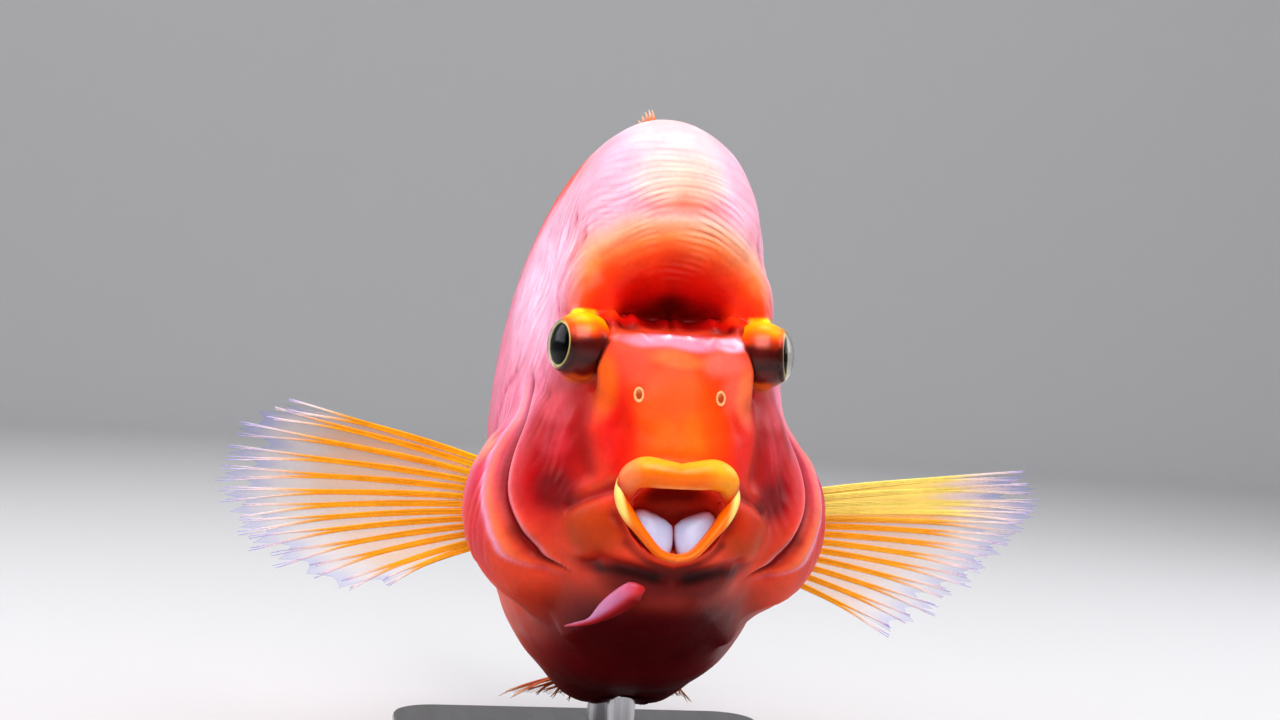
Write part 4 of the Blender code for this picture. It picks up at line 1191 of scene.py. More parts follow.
@dataclass
class Lips:
    """The two thick lips."""

    # Aside, back, up, half height and half depth from the corner to the middle
    upper: tuple[tuple[float, ...], ...] = (
        (7.9, 5.2, 0.2, 0.9, 1.4),
        (8.6, 5.0, 2.6, 1.5, 1.8),
        (8.3, 3.6, 5.6, 2.3, 2.4),
        (6.2, 2.6, 6.95, 2.65, 2.8),
        (3.2, 2.0, 6.8, 2.5, 2.8),
        (0, 1.8, 6.5, 2.2, 2.7),
    )
    lower: tuple[tuple[float, ...], ...] = (
        (9.4, 5.3, 6.6, 0.4, 0.8),
        (9.9, 5.0, 5.0, 0.7, 1.2),
        (10.0, 4.3, 2.7, 0.95, 1.8),
        (8.6, 4.0, -0.2, 1.2, 2.1),
        (6.0, 3.2, -3.5, 0.95, 2.1),
        (2.9, 2.6, -6.75, 0.8, 2.0),
        (0, 2.3, -7.6, 0.75, 1.9),
    )
    sides: int = 28
    steps: int = 48

    def sweep(self, line: Sequence[Sequence[float]]) -> bmesh.types.BMesh:
        """A lip swept from corner to corner through its rings."""
        line = np.array(line, float)
        half = np.linspace(0, 1, len(line))
        at = np.linspace(0, 1, self.steps + 1)
        right = np.stack([smooth_curve(half, column, at) for column in line.T], axis=1)
        whole = np.concatenate([right, right[-2::-1] * np.array((-1, 1, 1, 1, 1))])
        return swept(whole, self.sides, self.steps / 8)

    def build(self, name: str, material: bpy.types.Material) -> bpy.types.Object:
        """Models, paints and places one lip."""
        mesh = mesh_from(self.sweep(self.upper if name == "upper_lip" else self.lower), name)
        places = coordinates(mesh)
        x, y, z = np.abs(places[:, 0]), places[:, 1], places[:, 2]
        orange, gold = np.array(tone(250, 118, 4)), np.array(tone(255, 180, 44))
        cream, red = np.array(tone(255, 226, 130)), np.array(tone(206, 44, 4))
        salmon, light = np.array(tone(240, 136, 92)), np.array(tone(255, 196, 120))
        colours = np.tile(orange, (len(places), 1))

        def over(colour: Array, share: Array) -> Array:
            """The lip's colours with another laid over them."""
            share = np.clip(share, 0, 1)[:, None]
            return colours * (1 - share) + colour * share

        if name == "upper_lip":
            colours = over(gold, eased((z - 6.6) / 2.4) * 0.85 + eased((places[:, 0] - 3) / 5) * 0.6)
            colours = over(salmon, eased((-places[:, 0] - 6.2) / 2.6) * 0.65)
            # Painted shade: red on the lip's lower back side, where it turns in under itself towards the mouth
            colours = over(red, eased((y - 1.2) / 2.2) * eased((6.4 - z) / 1.8))
            edge = z - np.interp(x, (0, 5, 8), (4.5, 4.5, 3.6))
            colours = over(light, np.exp(-((edge / 0.35) ** 2)) * eased((1.6 - y) / 1.2) * 0.7)
        else:
            ring = np.hypot(x / 10.6, (z - 3.2) / 11.6)
            colours = over(cream, eased((ring - 0.84) / 0.1) * eased((z + 3.5) / 3.5))
            colours = over(salmon, eased((-7.4 - z) / 0.8) * 0.8)
            inner = np.hypot(x / 8.4, (z - 3.2) / 10.2)
            colours = over(red, eased((0.96 - inner) / 0.12) * eased((y - 2.2) / 1.6) * 0.8)
        fine = unevenness(places * np.array((1, 1, 0.4)), 1.3, 5.0)
        places = places * (1 + 0.004 * fine[:, None])
        set_coordinates(mesh, to_world(places))
        put_paint(mesh, colours)
        return place_piece(mesh, name, material, (name,))


@dataclass
class MouthPads:
    """The two pale pads on the floor of the mouth."""

    foot: float = -7.6
    top: float = 0.3
    # Height, inner edge, outer edge and how far back the middle lies
    outline: tuple[tuple[float, ...], ...] = (
        (-7.6, 0.04, 3.8, 5.2), (-5.9, 0.04, 5.6, 5.6), (-4.2, 0.04, 7.0, 6.2),
        (-2.4, 0.1, 7.7, 6.8), (-1.3, 1.1, 7.9, 7.1), (-0.4, 2.8, 7.8, 7.4), (0.3, 4.3, 7.2, 7.6),
    )
    half_depth: float = 2.3

    def build(self, material: bpy.types.Material) -> bpy.types.Object:
        """Models, paints and places the pads."""
        rows = np.array(self.outline)
        bm = bmesh.new()
        for side in (1, -1):
            made = bmesh.ops.create_uvsphere(bm, u_segments=40, v_segments=36, radius=1.0)["verts"]
            for vert in made:
                z = self.foot + (self.top - self.foot) * (vert.co.z + 1) / 2
                inner, outer, back = (np.interp(z, rows[:, 0], rows[:, k]) for k in (1, 2, 3))
                full = max(1 - vert.co.z**2, 1e-4) ** -0.28
                vert.co = Vector((
                    ((inner + outer) / 2 + vert.co.x * full * (outer - inner) / 2) * side,
                    back + vert.co.y * full * self.half_depth,
                    z,
                ))
        bmesh.ops.recalc_face_normals(bm, faces=bm.faces)
        mesh = mesh_from(bm, "mouth_pads")
        places = coordinates(mesh)
        pale, pink = np.array(tone(196, 206, 240)), np.array(tone(224, 124, 120))
        share = eased((0.5 - np.abs(places[:, 0])) / 0.4)[:, None] * 0.5
        outer = np.interp(places[:, 2], rows[:, 0], rows[:, 2])
        share = np.maximum(share, eased((places[:, 2] + 1.6) / 2.0)[:, None] * 0.6)
        share = np.maximum(share, eased((np.abs(places[:, 0]) - outer + 2.4) / 2.2)[:, None] * 0.8)
        places = places + unevenness(places * np.array((1, 1, 0.3)), 0.9, 2.0)[:, None] * 0.08
        set_coordinates(mesh, to_world(places))
        put_paint(mesh, pale * (1 - share) + pink * share)
        return place_piece(mesh, "mouth_pads", material, ("mouth_floor",))


@dataclass
class Eye:
    """An eye: a golden globe, a dark pupil sunk in its rim and the clear front over it."""

    side: int  # 1 is the fish's left
    centre: Point = (16.2, 17, 27.9)
    axis: Point = (0.93, -0.35, 0.05)
    radius: float = 6.1
    pupil: float = 3.7
    front: float = 5.95  # how far the clear front stands from the centre

    @property
    def word(self) -> str:
        """The side in words."""
        return "left" if self.side > 0 else "right"

    @staticmethod
    def shade(up: Array) -> Array:
        """The eye's colour by height, from -1 at its underside to 1 at its top, with a bright yellow painted
        highlight on top, where the light from above falls, and near-black painted shade below its middle,
        above an orange rim at the bottom.
        """
        stops = np.array((-1.2, -0.95, -0.75, -0.4, 0.15, 0.42, 0.66, 0.92, 1.2))
        shades = np.array([
            tone(206, 52, 10), tone(226, 110, 20), tone(116, 20, 4), tone(56, 6, 2), tone(92, 12, 2),
            tone(228, 66, 2), tone(250, 132, 2), tone(255, 196, 4), tone(255, 212, 24),
        ])
        return np.stack([np.interp(up, stops, shade) for shade in shades.T], axis=1)

    def lathe(self, profile: Sequence[tuple[float, float]], segments: int) -> bmesh.types.BMesh:
        """A profile of radius and height turned about the eye's axis."""
        bm = bmesh.new()
        verts = [bm.verts.new((radius, 0, height)) for radius, height in profile]
        edges = [bm.edges.new(pair) for pair in zip(verts, verts[1:])]
        bmesh.ops.spin(
            bm, geom=verts + edges, cent=(0, 0, 0), axis=(0, 0, 1), angle=math.tau,
            steps=segments, use_merge=True,
        )
        bmesh.ops.remove_doubles(bm, verts=bm.verts, dist=1e-4)
        bmesh.ops.recalc_face_normals(bm, faces=bm.faces)
        axis = Vector((self.axis[0] * self.side, *self.axis[1:])).normalized()
        bmesh.ops.rotate(bm, verts=bm.verts, matrix=axis.to_track_quat("Z", "Y").to_matrix())
        bmesh.ops.translate(
            bm, verts=bm.verts, vec=(self.centre[0] * self.side, *self.centre[1:])
        )
        return bm

    def globe(self, material: bpy.types.Material) -> bpy.types.Object:
        """The golden globe with its sunk pupil."""
        rim = math.asin((self.pupil + 0.5) / self.radius)
        ball = [
            (self.radius * math.sin(a), self.radius * math.cos(a))
            for a in np.linspace(math.pi, rim, 44)
        ]
        top = self.radius * math.cos(rim)
        iris = [
            (self.pupil + 0.28, top + 0.14), (self.pupil + 0.08, top + 0.12),
            (self.pupil - 0.06, top - 0.02), (self.pupil - 0.12, top - 0.5), (0, top - 0.6),
        ]
        bm = self.lathe(ball + iris, 96)
        mesh = mesh_from(bm, "eye_globe_" + self.word)
        places = coordinates(mesh)
        axis = Vector((self.axis[0] * self.side, *self.axis[1:])).normalized()
        from_eye = places - np.array(self.centre) * np.array((self.side, 1, 1))
        along = from_eye @ np.array(axis)
        off = np.linalg.norm(from_eye - along[:, None] * np.array(axis), axis=1)
        # By height, with a yellow painted highlight on top and near-black painted shade below the middle
        colours = self.shade(from_eye[:, 2] / self.radius + 0.15 * unevenness(places, 2.5, 4.0))
        # Painted shade: dark brown round the pupil, most below it
        shaded_brown = (eased((self.pupil + 2.4 - off) / 1.8) * eased(0.62 - from_eye[:, 2] / 5))[:, None]
        colours = colours * (1 - 0.9 * shaded_brown) + np.array(tone(60, 8, 3)) * 0.9 * shaded_brown
        pale = (eased((self.pupil + 0.5 - off) / 0.3) * (along > 0))[:, None]
        colours = colours * (1 - pale) + np.array(tone(232, 220, 130)) * pale
        set_coordinates(mesh, to_world(places))
        put_paint(mesh, colours)
        return place_piece(mesh, mesh.name, material, ("eye_" + self.word,))

    def black_pupil(self, material: bpy.types.Material) -> bpy.types.Object:
        """The lightless disc in the middle of the eye."""
        top = self.radius * math.cos(math.asin((self.pupil + 0.5) / self.radius))
        wide = self.pupil - 0.04
        profile = [(0, top - 0.7), (wide, top - 0.7), (wide, top - 0.05)]
        profile += [(wide * math.cos(a), top + 0.25 * math.sin(a)) for a in (0.3, 0.8, 1.2)]
        bm = self.lathe([*profile, (0, top + 0.25)], 72)
        mesh = mesh_from(bm, "eye_pupil_" + self.word)
        set_coordinates(mesh, to_world(coordinates(mesh)))
        return place_piece(mesh, mesh.name, material)

    def clear_front(self, material: bpy.types.Material) -> bpy.types.Object:
        """The clear front of the eye, a thin bulging shell."""
        foot = math.asin(min(0.99, (self.pupil + 1.15) / self.radius))
        low = self.radius * math.cos(foot) - 0.1
        wide = self.radius * math.sin(foot)
        rise = self.front - low
        outside = [
            (wide * math.sin(a), low + rise * math.cos(a)) for a in np.linspace(math.pi / 2, 0, 22)
        ]
        inside = [(r * 0.95, low + (h - low) * 0.9 - 0.02) for r, h in reversed(outside)]
        bm = self.lathe(outside + inside + outside[:1], 72)
        mesh = mesh_from(bm, "eye_clear_" + self.word)
        set_coordinates(mesh, to_world(coordinates(mesh)))
        return place_piece(mesh, mesh.name, material)


@dataclass
class Nostril:
    """A nostril: a pale raised ring round a small dark opening."""

    side: int
    centre: Point = (7.2, 5.9, 20)
    ring: tuple[float, float] = (0.58, 1.1)
    thickness: float = 0.26
    lean: float = 0.16  # how far the face leans back, for each millimetre up
    turn: float = 0.22  # how far it turns away, for each millimetre aside

    def build(self, flesh: Flesh, ball: SkinBall, material: bpy.types.Material) -> bpy.types.Object:
        """Models, paints and places the ring on the skin."""
        bm = bmesh.new()
        circle = bmesh.ops.create_circle(bm, segments=14, radius=self.thickness)
        bmesh.ops.rotate(bm, verts=bm.verts, matrix=Matrix.Rotation(math.pi / 2, 3, "X"))
        bmesh.ops.translate(bm, verts=circle["verts"], vec=(1.0, 0, 0))
        bmesh.ops.spin(
            bm, geom=bm.verts[:] + bm.edges[:], cent=(0, 0, 0), axis=(0, 0, 1), angle=math.tau,
            steps=40, use_merge=True,
        )
        bmesh.ops.remove_doubles(bm, verts=bm.verts, dist=1e-4)
        pit = bmesh.ops.create_uvsphere(bm, u_segments=20, v_segments=12, radius=0.85)["verts"]
        bmesh.ops.scale(bm, verts=pit, vec=(1, 1, 0.25))
        bmesh.ops.recalc_face_normals(bm, faces=bm.faces)
        mesh = mesh_from(bm, "nostril_" + ("left" if self.side > 0 else "right"))
        shape = coordinates(mesh)
        off = np.hypot(shape[:, 0], shape[:, 1])
        start = np.array([(self.centre[0] * self.side, 25.0, self.centre[2])])
        found = ball.leave(start, np.array([(0.0, -1.0, 0.0)]))[0]
        places = np.stack([
            found[0] + shape[:, 0] * self.ring[0] / 0.8,
            found[1] - shape[:, 2] * 1.5 + 0.05 + self.turn * self.side * shape[:, 0] * self.ring[0]
            + self.lean * shape[:, 1] * self.ring[1],
            found[2] + shape[:, 1] * self.ring[1],
        ], axis=1)
        # The darker middle is painted shade in the opening
        share = eased((0.78 - off) / 0.2)[:, None]
        colours = np.array(tone(252, 176, 120)) * (1 - share) + np.array(tone(178, 74, 30)) * share
        set_coordinates(mesh, to_world(places))
        put_paint(mesh, colours)
        return place_piece(mesh, mesh.name, material)


@dataclass
class Scales:
    """Rows of overlapping scales behind the head, each a thin closed plate."""

    flesh: Flesh
    ball: SkinBall
    markings: Markings
    front: float = 40.0
    rear: float = 156.0
    pitch: float = 4.1
    tail_pitch: float = 2.9
    seed: int = 4
    patch: float = 0.003  # each scale's share of the baking map

    def surface(self, rows: int = 118, turns: int = 150) -> tuple[Array, Array, Array]:
        """The left flank as a grid of places, by place along the body and share of the girth.

        Returns:
            Places along the body, the grid of places on the skin and the girth at each.
        """
        at = np.linspace(self.front - 6, self.rear + 4, rows)
        _, widest, _, _ = self.flesh.section(at)
        angle = np.radians(np.linspace(89.5, -89.5, turns))
        start = np.zeros((rows, turns, 3))
        start[:, :, 1] = at[:, None]
        start[:, :, 2] = widest[:, None] + 3
        way = np.stack([np.cos(angle), 0 * angle, np.sin(angle)], axis=1)
        way = np.broadcast_to(way, (rows, turns, 3))
        found = self.ball.leave(start.reshape(-1, 3), way.reshape(-1, 3).copy())
        found = found.reshape(rows, turns, 3)
        arc = np.linalg.norm(np.diff(found, axis=1), axis=2).cumsum(axis=1)
        arc = np.concatenate([np.zeros((rows, 1)), arc], axis=1)
        girth = arc[:, -1]
        share = np.linspace(0, 1, turns)
        even = np.stack([
            np.stack([np.interp(share, arc[i] / girth[i], found[i, :, k]) for k in range(3)], 1)
            for i in range(rows)
        ])
        return at, even, girth

    def roots(self, at: Array, girth: Array) -> Array:
        """Each scale's place along the body, share of the girth, length and width."""
        draw = np.random.default_rng(self.seed)
        found, place, column = [], self.front, 0
        while place < self.rear:
            size = np.interp(place, (40, 55, 100, 150), (2.8, self.pitch, self.pitch, self.tail_pitch))
            around = np.interp(place, at, girth)
            count = int(round(around / size))
            for k in range(count + 1):
                share = (k + 0.5 * (column % 2)) / count
                if 0.015 < share < 0.985:
                    near_edge = eased(min(share, 1 - share) / 0.12)
                    found.append((
                        place + draw.normal(0, 0.12), share + draw.normal(0, 0.06) * size / around,
                        size * 1.9 * (0.82 + 0.18 * near_edge), size * 1.16,
                    ))
            place += size * 0.93
            column += 1
        return np.array(found)

    def template(self) -> bmesh.types.BMesh:
        """One scale as a closed plate on a square from -1 to 1, its upper face at height 1."""
        bm = bmesh.new()
        bmesh.ops.create_grid(bm, x_segments=5, y_segments=4, size=1.0)
        made = bmesh.ops.extrude_face_region(bm, geom=bm.faces[:])["geom"]
        raised = [item for item in made if isinstance(item, bmesh.types.BMVert)]
        bmesh.ops.translate(bm, verts=raised, vec=(0, 0, 1))
        bmesh.ops.recalc_face_normals(bm, faces=bm.faces)
        return bm

    def build(self, side: int, material: bpy.types.Material) -> bpy.types.Object:
        """Models, paints and places the scales of one side."""
        at, grid, girth = self.surface()
        roots = self.roots(at, girth)
        rows = np.interp(roots[:, 0], at, np.arange(len(at)))
        spots = self.read(grid, rows, roots[:, 1] * (grid.shape[1] - 1))
        behind = self.flesh.wall(spots, self.flesh.cover_outline) > 1.4
        behind &= (spots[:, 1] > 50) | (spots[:, 2] > 20)
        roots, spots = roots[behind], spots[behind]
        template = self.template()
        shape = np.array([v.co for v in template.verts])
        mesh = repeated(template, len(roots), "scales_" + ("left" if side > 0 else "right"))
        u, v, top = shape.T
        round_off = np.where(u > -0.1, np.sqrt(np.clip(1 - ((u + 0.1) / 1.12) ** 2, 0, 1)), 1.0)
        v = v * (0.86 + 0.14 * round_off) * np.sqrt(np.clip(round_off, 0.03, 1))
        place = roots[:, 0:1] + (u + 0.55)[None, :] * roots[:, 2:3] / 2
        around = np.interp(place, at, girth)
        share = roots[:, 1:2] + v[None, :] * roots[:, 3:4] / 2 / around
        row = np.interp(place, at, np.arange(len(at)))
        column = np.clip(share, 0, 1) * (grid.shape[1] - 1)
        on_skin = self.read(grid, row, column)
        normal = self.normals(grid, row, column)
        lift = -0.30 + 0.34 * (u + 1) - 0.10 * np.abs(v) ** 2 + (top - 1) * 0.16
        lift = lift[None, :] + 0.05 * np.sin(roots[:, 0:1] * 9 + roots[:, 1:2] * 71)
        grown = np.interp(roots[:, 0:1], (self.front + 6, 62, 84), (0.0, 0.5, 1.0))
        lift = -0.6 * (1 - grown) ** 2 + lift * grown
        places = (on_skin + normal * lift[:, :, None]).reshape(-1, 3)
        spot = np.repeat(spots, len(shape), axis=0)
        rear = np.tile(eased((u - 0.45) / 0.5), len(roots))[:, None]
        draw = np.random.default_rng(self.seed + 1)
        tint = np.repeat(draw.normal(1.0, 0.06, len(roots)), len(shape))[:, None]
        colours = self.markings.at(spot) * tint * (0.88 + 0.12 * rear)
        pearl = np.array(tone(255, 190, 176))
        colours = colours * (1 - 0.25 * rear) + pearl * 0.25 * rear
        places[:, 0] *= side
        if side < 0:
            mesh.flip_normals()
        set_coordinates(mesh, to_world(places))
        put_paint(mesh, np.clip(colours, 0, 1))
        self.baking_map(mesh, roots, shape, side)
        return place_piece(mesh, mesh.name, material)

    @staticmethod
    def read(grid: Array, row: Array, column: Array) -> Array:
        """The grid's places between its lines."""
        row = np.clip(row, 0, grid.shape[0] - 1.001)
        column = np.clip(column, 0, grid.shape[1] - 1.001)
        i, j = row.astype(int), column.astype(int)
        a, b = (row - i)[..., None], (column - j)[..., None]
        low = grid[i, j] * (1 - b) + grid[i, j + 1] * b
        return low * (1 - a) + (grid[i + 1, j] * (1 - b) + grid[i + 1, j + 1] * b) * a

    def normals(self, grid: Array, row: Array, column: Array) -> Array:
        """The way out of the skin at places of the grid."""
        back = self.read(grid, row + 0.9, column) - self.read(grid, row - 0.9, column)
        down = self.read(grid, row, column + 0.9) - self.read(grid, row, column - 0.9)
        out = np.cross(down, back)
        out /= np.linalg.norm(out, axis=-1, keepdims=True) + 1e-12
        return out * np.where(out[..., :1] < 0, -1, 1)

    def baking_map(self, mesh: bpy.types.Mesh, roots: Array, shape: Array, side: int) -> None:
        """Gives each scale a small patch of the map, at its root's place on the unrolled skin."""
        across = 0.03 + 0.94 * (roots[:, 0] - self.front) / (self.rear - self.front)
        down = 0.02 + 0.46 * roots[:, 1] + (0.5 if side < 0 else 0.0)
        corner = np.stack([across, down], axis=1)[:, None, :]
        places = (corner + shape[None, :, :2] * self.patch / 2).reshape(-1, 2)
        index = np.zeros(len(mesh.loops), int)
        mesh.loops.foreach_get("vertex_index", index)
        layer = mesh.uv_layers.new(name="OFBake")
        layer.data.foreach_set("uv", places[index].astype(np.float32).ravel())


class Rays(Enum):
    """How the rays of a fin end."""

    SPINES = "single and pointed"
    FORKED = "parted into fine threads"


@dataclass
class RayFin:
    """A fin of forked rays with a clear membrane between them."""

    name: str
    roots: Array
    tips: Array
    bow: Point = (0, 0, 0)
    width: float = 1.0  # a ray's width in its middle
    thickness: float = 0.5
    spines: int = 0  # how many of the first rays are spines
    scallop: float = 0.1
    strands: int = 4
    sides: int = 6
    steps: int = 26
    seed: int = 1
    bases: tuple[Colour, Colour] = (tone(255, 214, 30), tone(232, 64, 20))
    middles: tuple[Colour, Colour] = (tone(255, 158, 16), tone(255, 168, 40))
    pale: Colour = tone(240, 216, 214)
    tip_colour: Colour = tone(122, 130, 236)
    sheet: float = 0.0  # so many of the first rays are joined by a solid pale membrane
    pale_from: float = 0.66
    replaced: tuple[str, ...] = field(default=())

    def frame(self, rank: Array, along: Array) -> tuple[Array, Array, Array]:
        """A place on the fin, the way across its rays and the way out of it.

        Args:
            rank: Which ray, as a number from 0 to one less than their count.
            along: How far from root to tip, from 0 to 1.

        Returns:
            Places, unit ways across and unit ways out.
        """
        knots = np.arange(len(self.roots))
        bow = np.array(self.bow, float)

        def spot(rank: Array, along: Array) -> Array:
            root = np.stack([np.interp(rank, knots, line) for line in self.roots.T], axis=-1)
            tip = np.stack([np.interp(rank, knots, line) for line in self.tips.T], axis=-1)
            share = along[..., None]
            return root + (tip - root) * share + bow * 4 * share * (1 - share)

        step = 0.02
        inner = np.clip(rank, step, len(self.roots) - 1 - step)
        low = np.clip(along, 0.04, 0.96)
        across = spot(inner + step, low) - spot(inner - step, low)
        forward = spot(inner, low + step) - spot(inner, low - step)
        forward /= np.linalg.norm(forward, axis=-1, keepdims=True)
        across -= (across * forward).sum(axis=-1, keepdims=True) * forward
        across /= np.linalg.norm(across, axis=-1, keepdims=True) + 1e-9
        return spot(rank, along), across, np.cross(forward, across)

    def paint(self, rank: Array, along: Array) -> Array:
        """The colour of the rays, from the bright root to the pale tips."""
        share = (rank / max(len(self.roots) - 1, 1))[..., None]
        base = np.array(self.bases[0]) * (1 - share) + np.array(self.bases[1]) * share
        middle = np.array(self.middles[0]) * (1 - share) + np.array(self.middles[1]) * share
        first = eased(along / 0.3)[..., None]
        pale = eased((along - self.pale_from) / 0.2)[..., None]
        last = eased((along - 0.86) / 0.14)[..., None]
        colours = base * (1 - first) + middle * first
        joined = eased((self.sheet - rank) / 2)[..., None] * 0.8
        colours = colours * (1 - joined) + np.array(tone(255, 236, 130)) * joined
        colours = colours * (1 - pale) + np.array(self.pale) * pale
        return colours * (1 - last) + np.array(self.tip_colour) * last

    def strand_template(self) -> bmesh.types.BMesh:
        """One thread as a closed tube along Z from 0 to 1."""
        bm = bmesh.new()
        for index in range(self.steps + 1):
            matrix = Matrix.Translation((0, 0, index / self.steps))
            bmesh.ops.create_circle(bm, segments=self.sides, radius=1.0, matrix=matrix)
        rings = [bm.verts[:][i : i + self.sides] for i in range(0, len(bm.verts), self.sides)]
        bmesh.ops.bridge_loops(bm, edges=bm.edges[:])
        for ring in (rings[0], rings[-1]):
            bmesh.ops.contextual_create(bm, geom=ring)
        bmesh.ops.recalc_face_normals(bm, faces=bm.faces)
        return bm

    def build_rays(self, material: bpy.types.Material, slot: str) -> bpy.types.Object:
        """Models, paints and places the rays."""
        draw = np.random.default_rng(self.seed)
        threads = []
        for ray in range(len(self.roots)):
            spine = ray < self.spines
            count = 1 if spine else self.strands
            reach = 1.0 if spine else draw.uniform(0.93, 1.0)
            for k in range(count):
                offset = 0.0 if spine else (k - (count - 1) / 2)
                fray = 0.0 if spine else draw.uniform(-0.035, 0.0)
                threads.append((ray, offset, reach + fray, draw.uniform(0, math.tau), spine))
        ray, offset, reach, phase, spine = (np.array(column, float) for column in zip(*threads))
        template = self.strand_template()
        shape = np.array([v.co for v in template.verts])
        mesh = repeated(template, len(threads), self.name + "_rays")
        ring_x, ring_y, t = shape.T
        along = t[None, :] * reach[:, None]
        length = np.linalg.norm(self.tips - self.roots, axis=1)
        gap = np.linalg.norm(np.diff(self.tips, axis=0), axis=1).mean()
        rank = np.broadcast_to(ray[:, None], along.shape) * 1.0
        centre, across, out = self.frame(rank, along)
        pair, twin = np.sign(offset)[:, None], np.sign(np.abs(offset) - 1)[:, None] * np.sign(offset)[:, None]
        packed = self.width / self.strands * np.interp(along, (0, 0.35, 1), (0.8, 1.0, 0.3))
        first = packed + gap * 0.2 * eased((along - 0.55) / 0.45) ** 1.3
        second = packed * 0.5 + gap * 0.045 * eased((along - 0.8) / 0.2)
        wave = 0.1 * np.sin(phase[:, None] + along * 5.0) * eased((along - 0.55) / 0.4)
        aside = (pair * first + twin * second + wave) * (1 - spine[:, None])
        pitch = np.interp(along, (0, 0.3, 0.6, 0.8, 0.92, 1.0), (0.8, 1.05, 1.1, 0.9, 0.6, 0.1))
        half_wide = np.where(spine[:, None] > 0, self.width * 0.42, self.width / self.strands * 0.66) * pitch
        half_thick = self.thickness / 2 * np.interp(along, (0, 0.2, 0.8, 1.0), (1.2, 1.0, 0.45, 0.15))
        ripple = 0.12 * np.sin(along * length[ray.astype(int)][:, None] * 4.2)
        half_thick = half_thick * (1 + ripple)
        move = across * (aside + ring_x[None, :] * half_wide)[..., None]
        move += out * (ring_y[None, :] * half_thick)[..., None]
        places = (centre + move).reshape(-1, 3)
        colours = self.paint(rank, along).reshape(-1, 3)
        streak = 0.86 + 0.28 * np.repeat(draw.random(len(threads)), len(shape))[:, None]
        set_coordinates(mesh, to_world(places))
        put_paint(mesh, np.clip(colours * streak, 0, 1))
        return place_piece(mesh, mesh.name, material, self.replaced)

    def build_membrane(self, material: bpy.types.Material, slot: str) -> bpy.types.Object:
        """Models, paints and places the clear skin between the rays."""
        draw = np.random.default_rng(self.seed + 50)
        columns, rows = 6 * (len(self.roots) - 1), 30
        bm = bmesh.new()
        bmesh.ops.create_grid(bm, x_segments=columns, y_segments=rows, size=1.0)
        made = bmesh.ops.extrude_face_region(bm, geom=bm.faces[:])["geom"]
        raised = [item for item in made if isinstance(item, bmesh.types.BMVert)]
        bmesh.ops.translate(bm, verts=raised, vec=(0, 0, 1))
        bmesh.ops.recalc_face_normals(bm, faces=bm.faces)
        grid = np.array([v.co for v in bm.verts])
        mesh = mesh_from(bm, self.name + "_membrane")
        rank = (grid[:, 0] + 1) / 2 * (len(self.roots) - 1)
        along = (grid[:, 1] + 1) / 2
        between = np.abs((rank % 1) - 0.5) * 2  # 1 on a ray and 0 between two
        ragged = draw.uniform(0.5, 1.4, len(self.roots) + 1)[np.minimum(rank, 999).astype(int)]
        reach = 0.965 - self.scallop * ragged * (1 - between**1.5)
        centre, across, out = self.frame(rank, along * reach)
        sag = 0.25 * (1 - between) * np.sin(along * 5 + rank) * eased(along / 0.3)
        thick = (grid[:, 2] - 0.5) * np.interp(along, (0, 1), (0.3, 0.14))
        places = centre + out * (thick + sag)[:, None]
        colours = self.paint(rank, along)
        clear = np.interp(along, (0, 0.08, 0.25, 1), (1.0, 0.7, 0.22, 0.12))
        clear = np.maximum(clear, eased((self.sheet - rank) / 1.5) * eased((1.1 - along) / 0.5) * 0.85)
        set_coordinates(mesh, to_world(places))
        put_paint(mesh, np.concatenate([colours, clear[:, None]], axis=1))
        return place_piece(mesh, mesh.name, material)


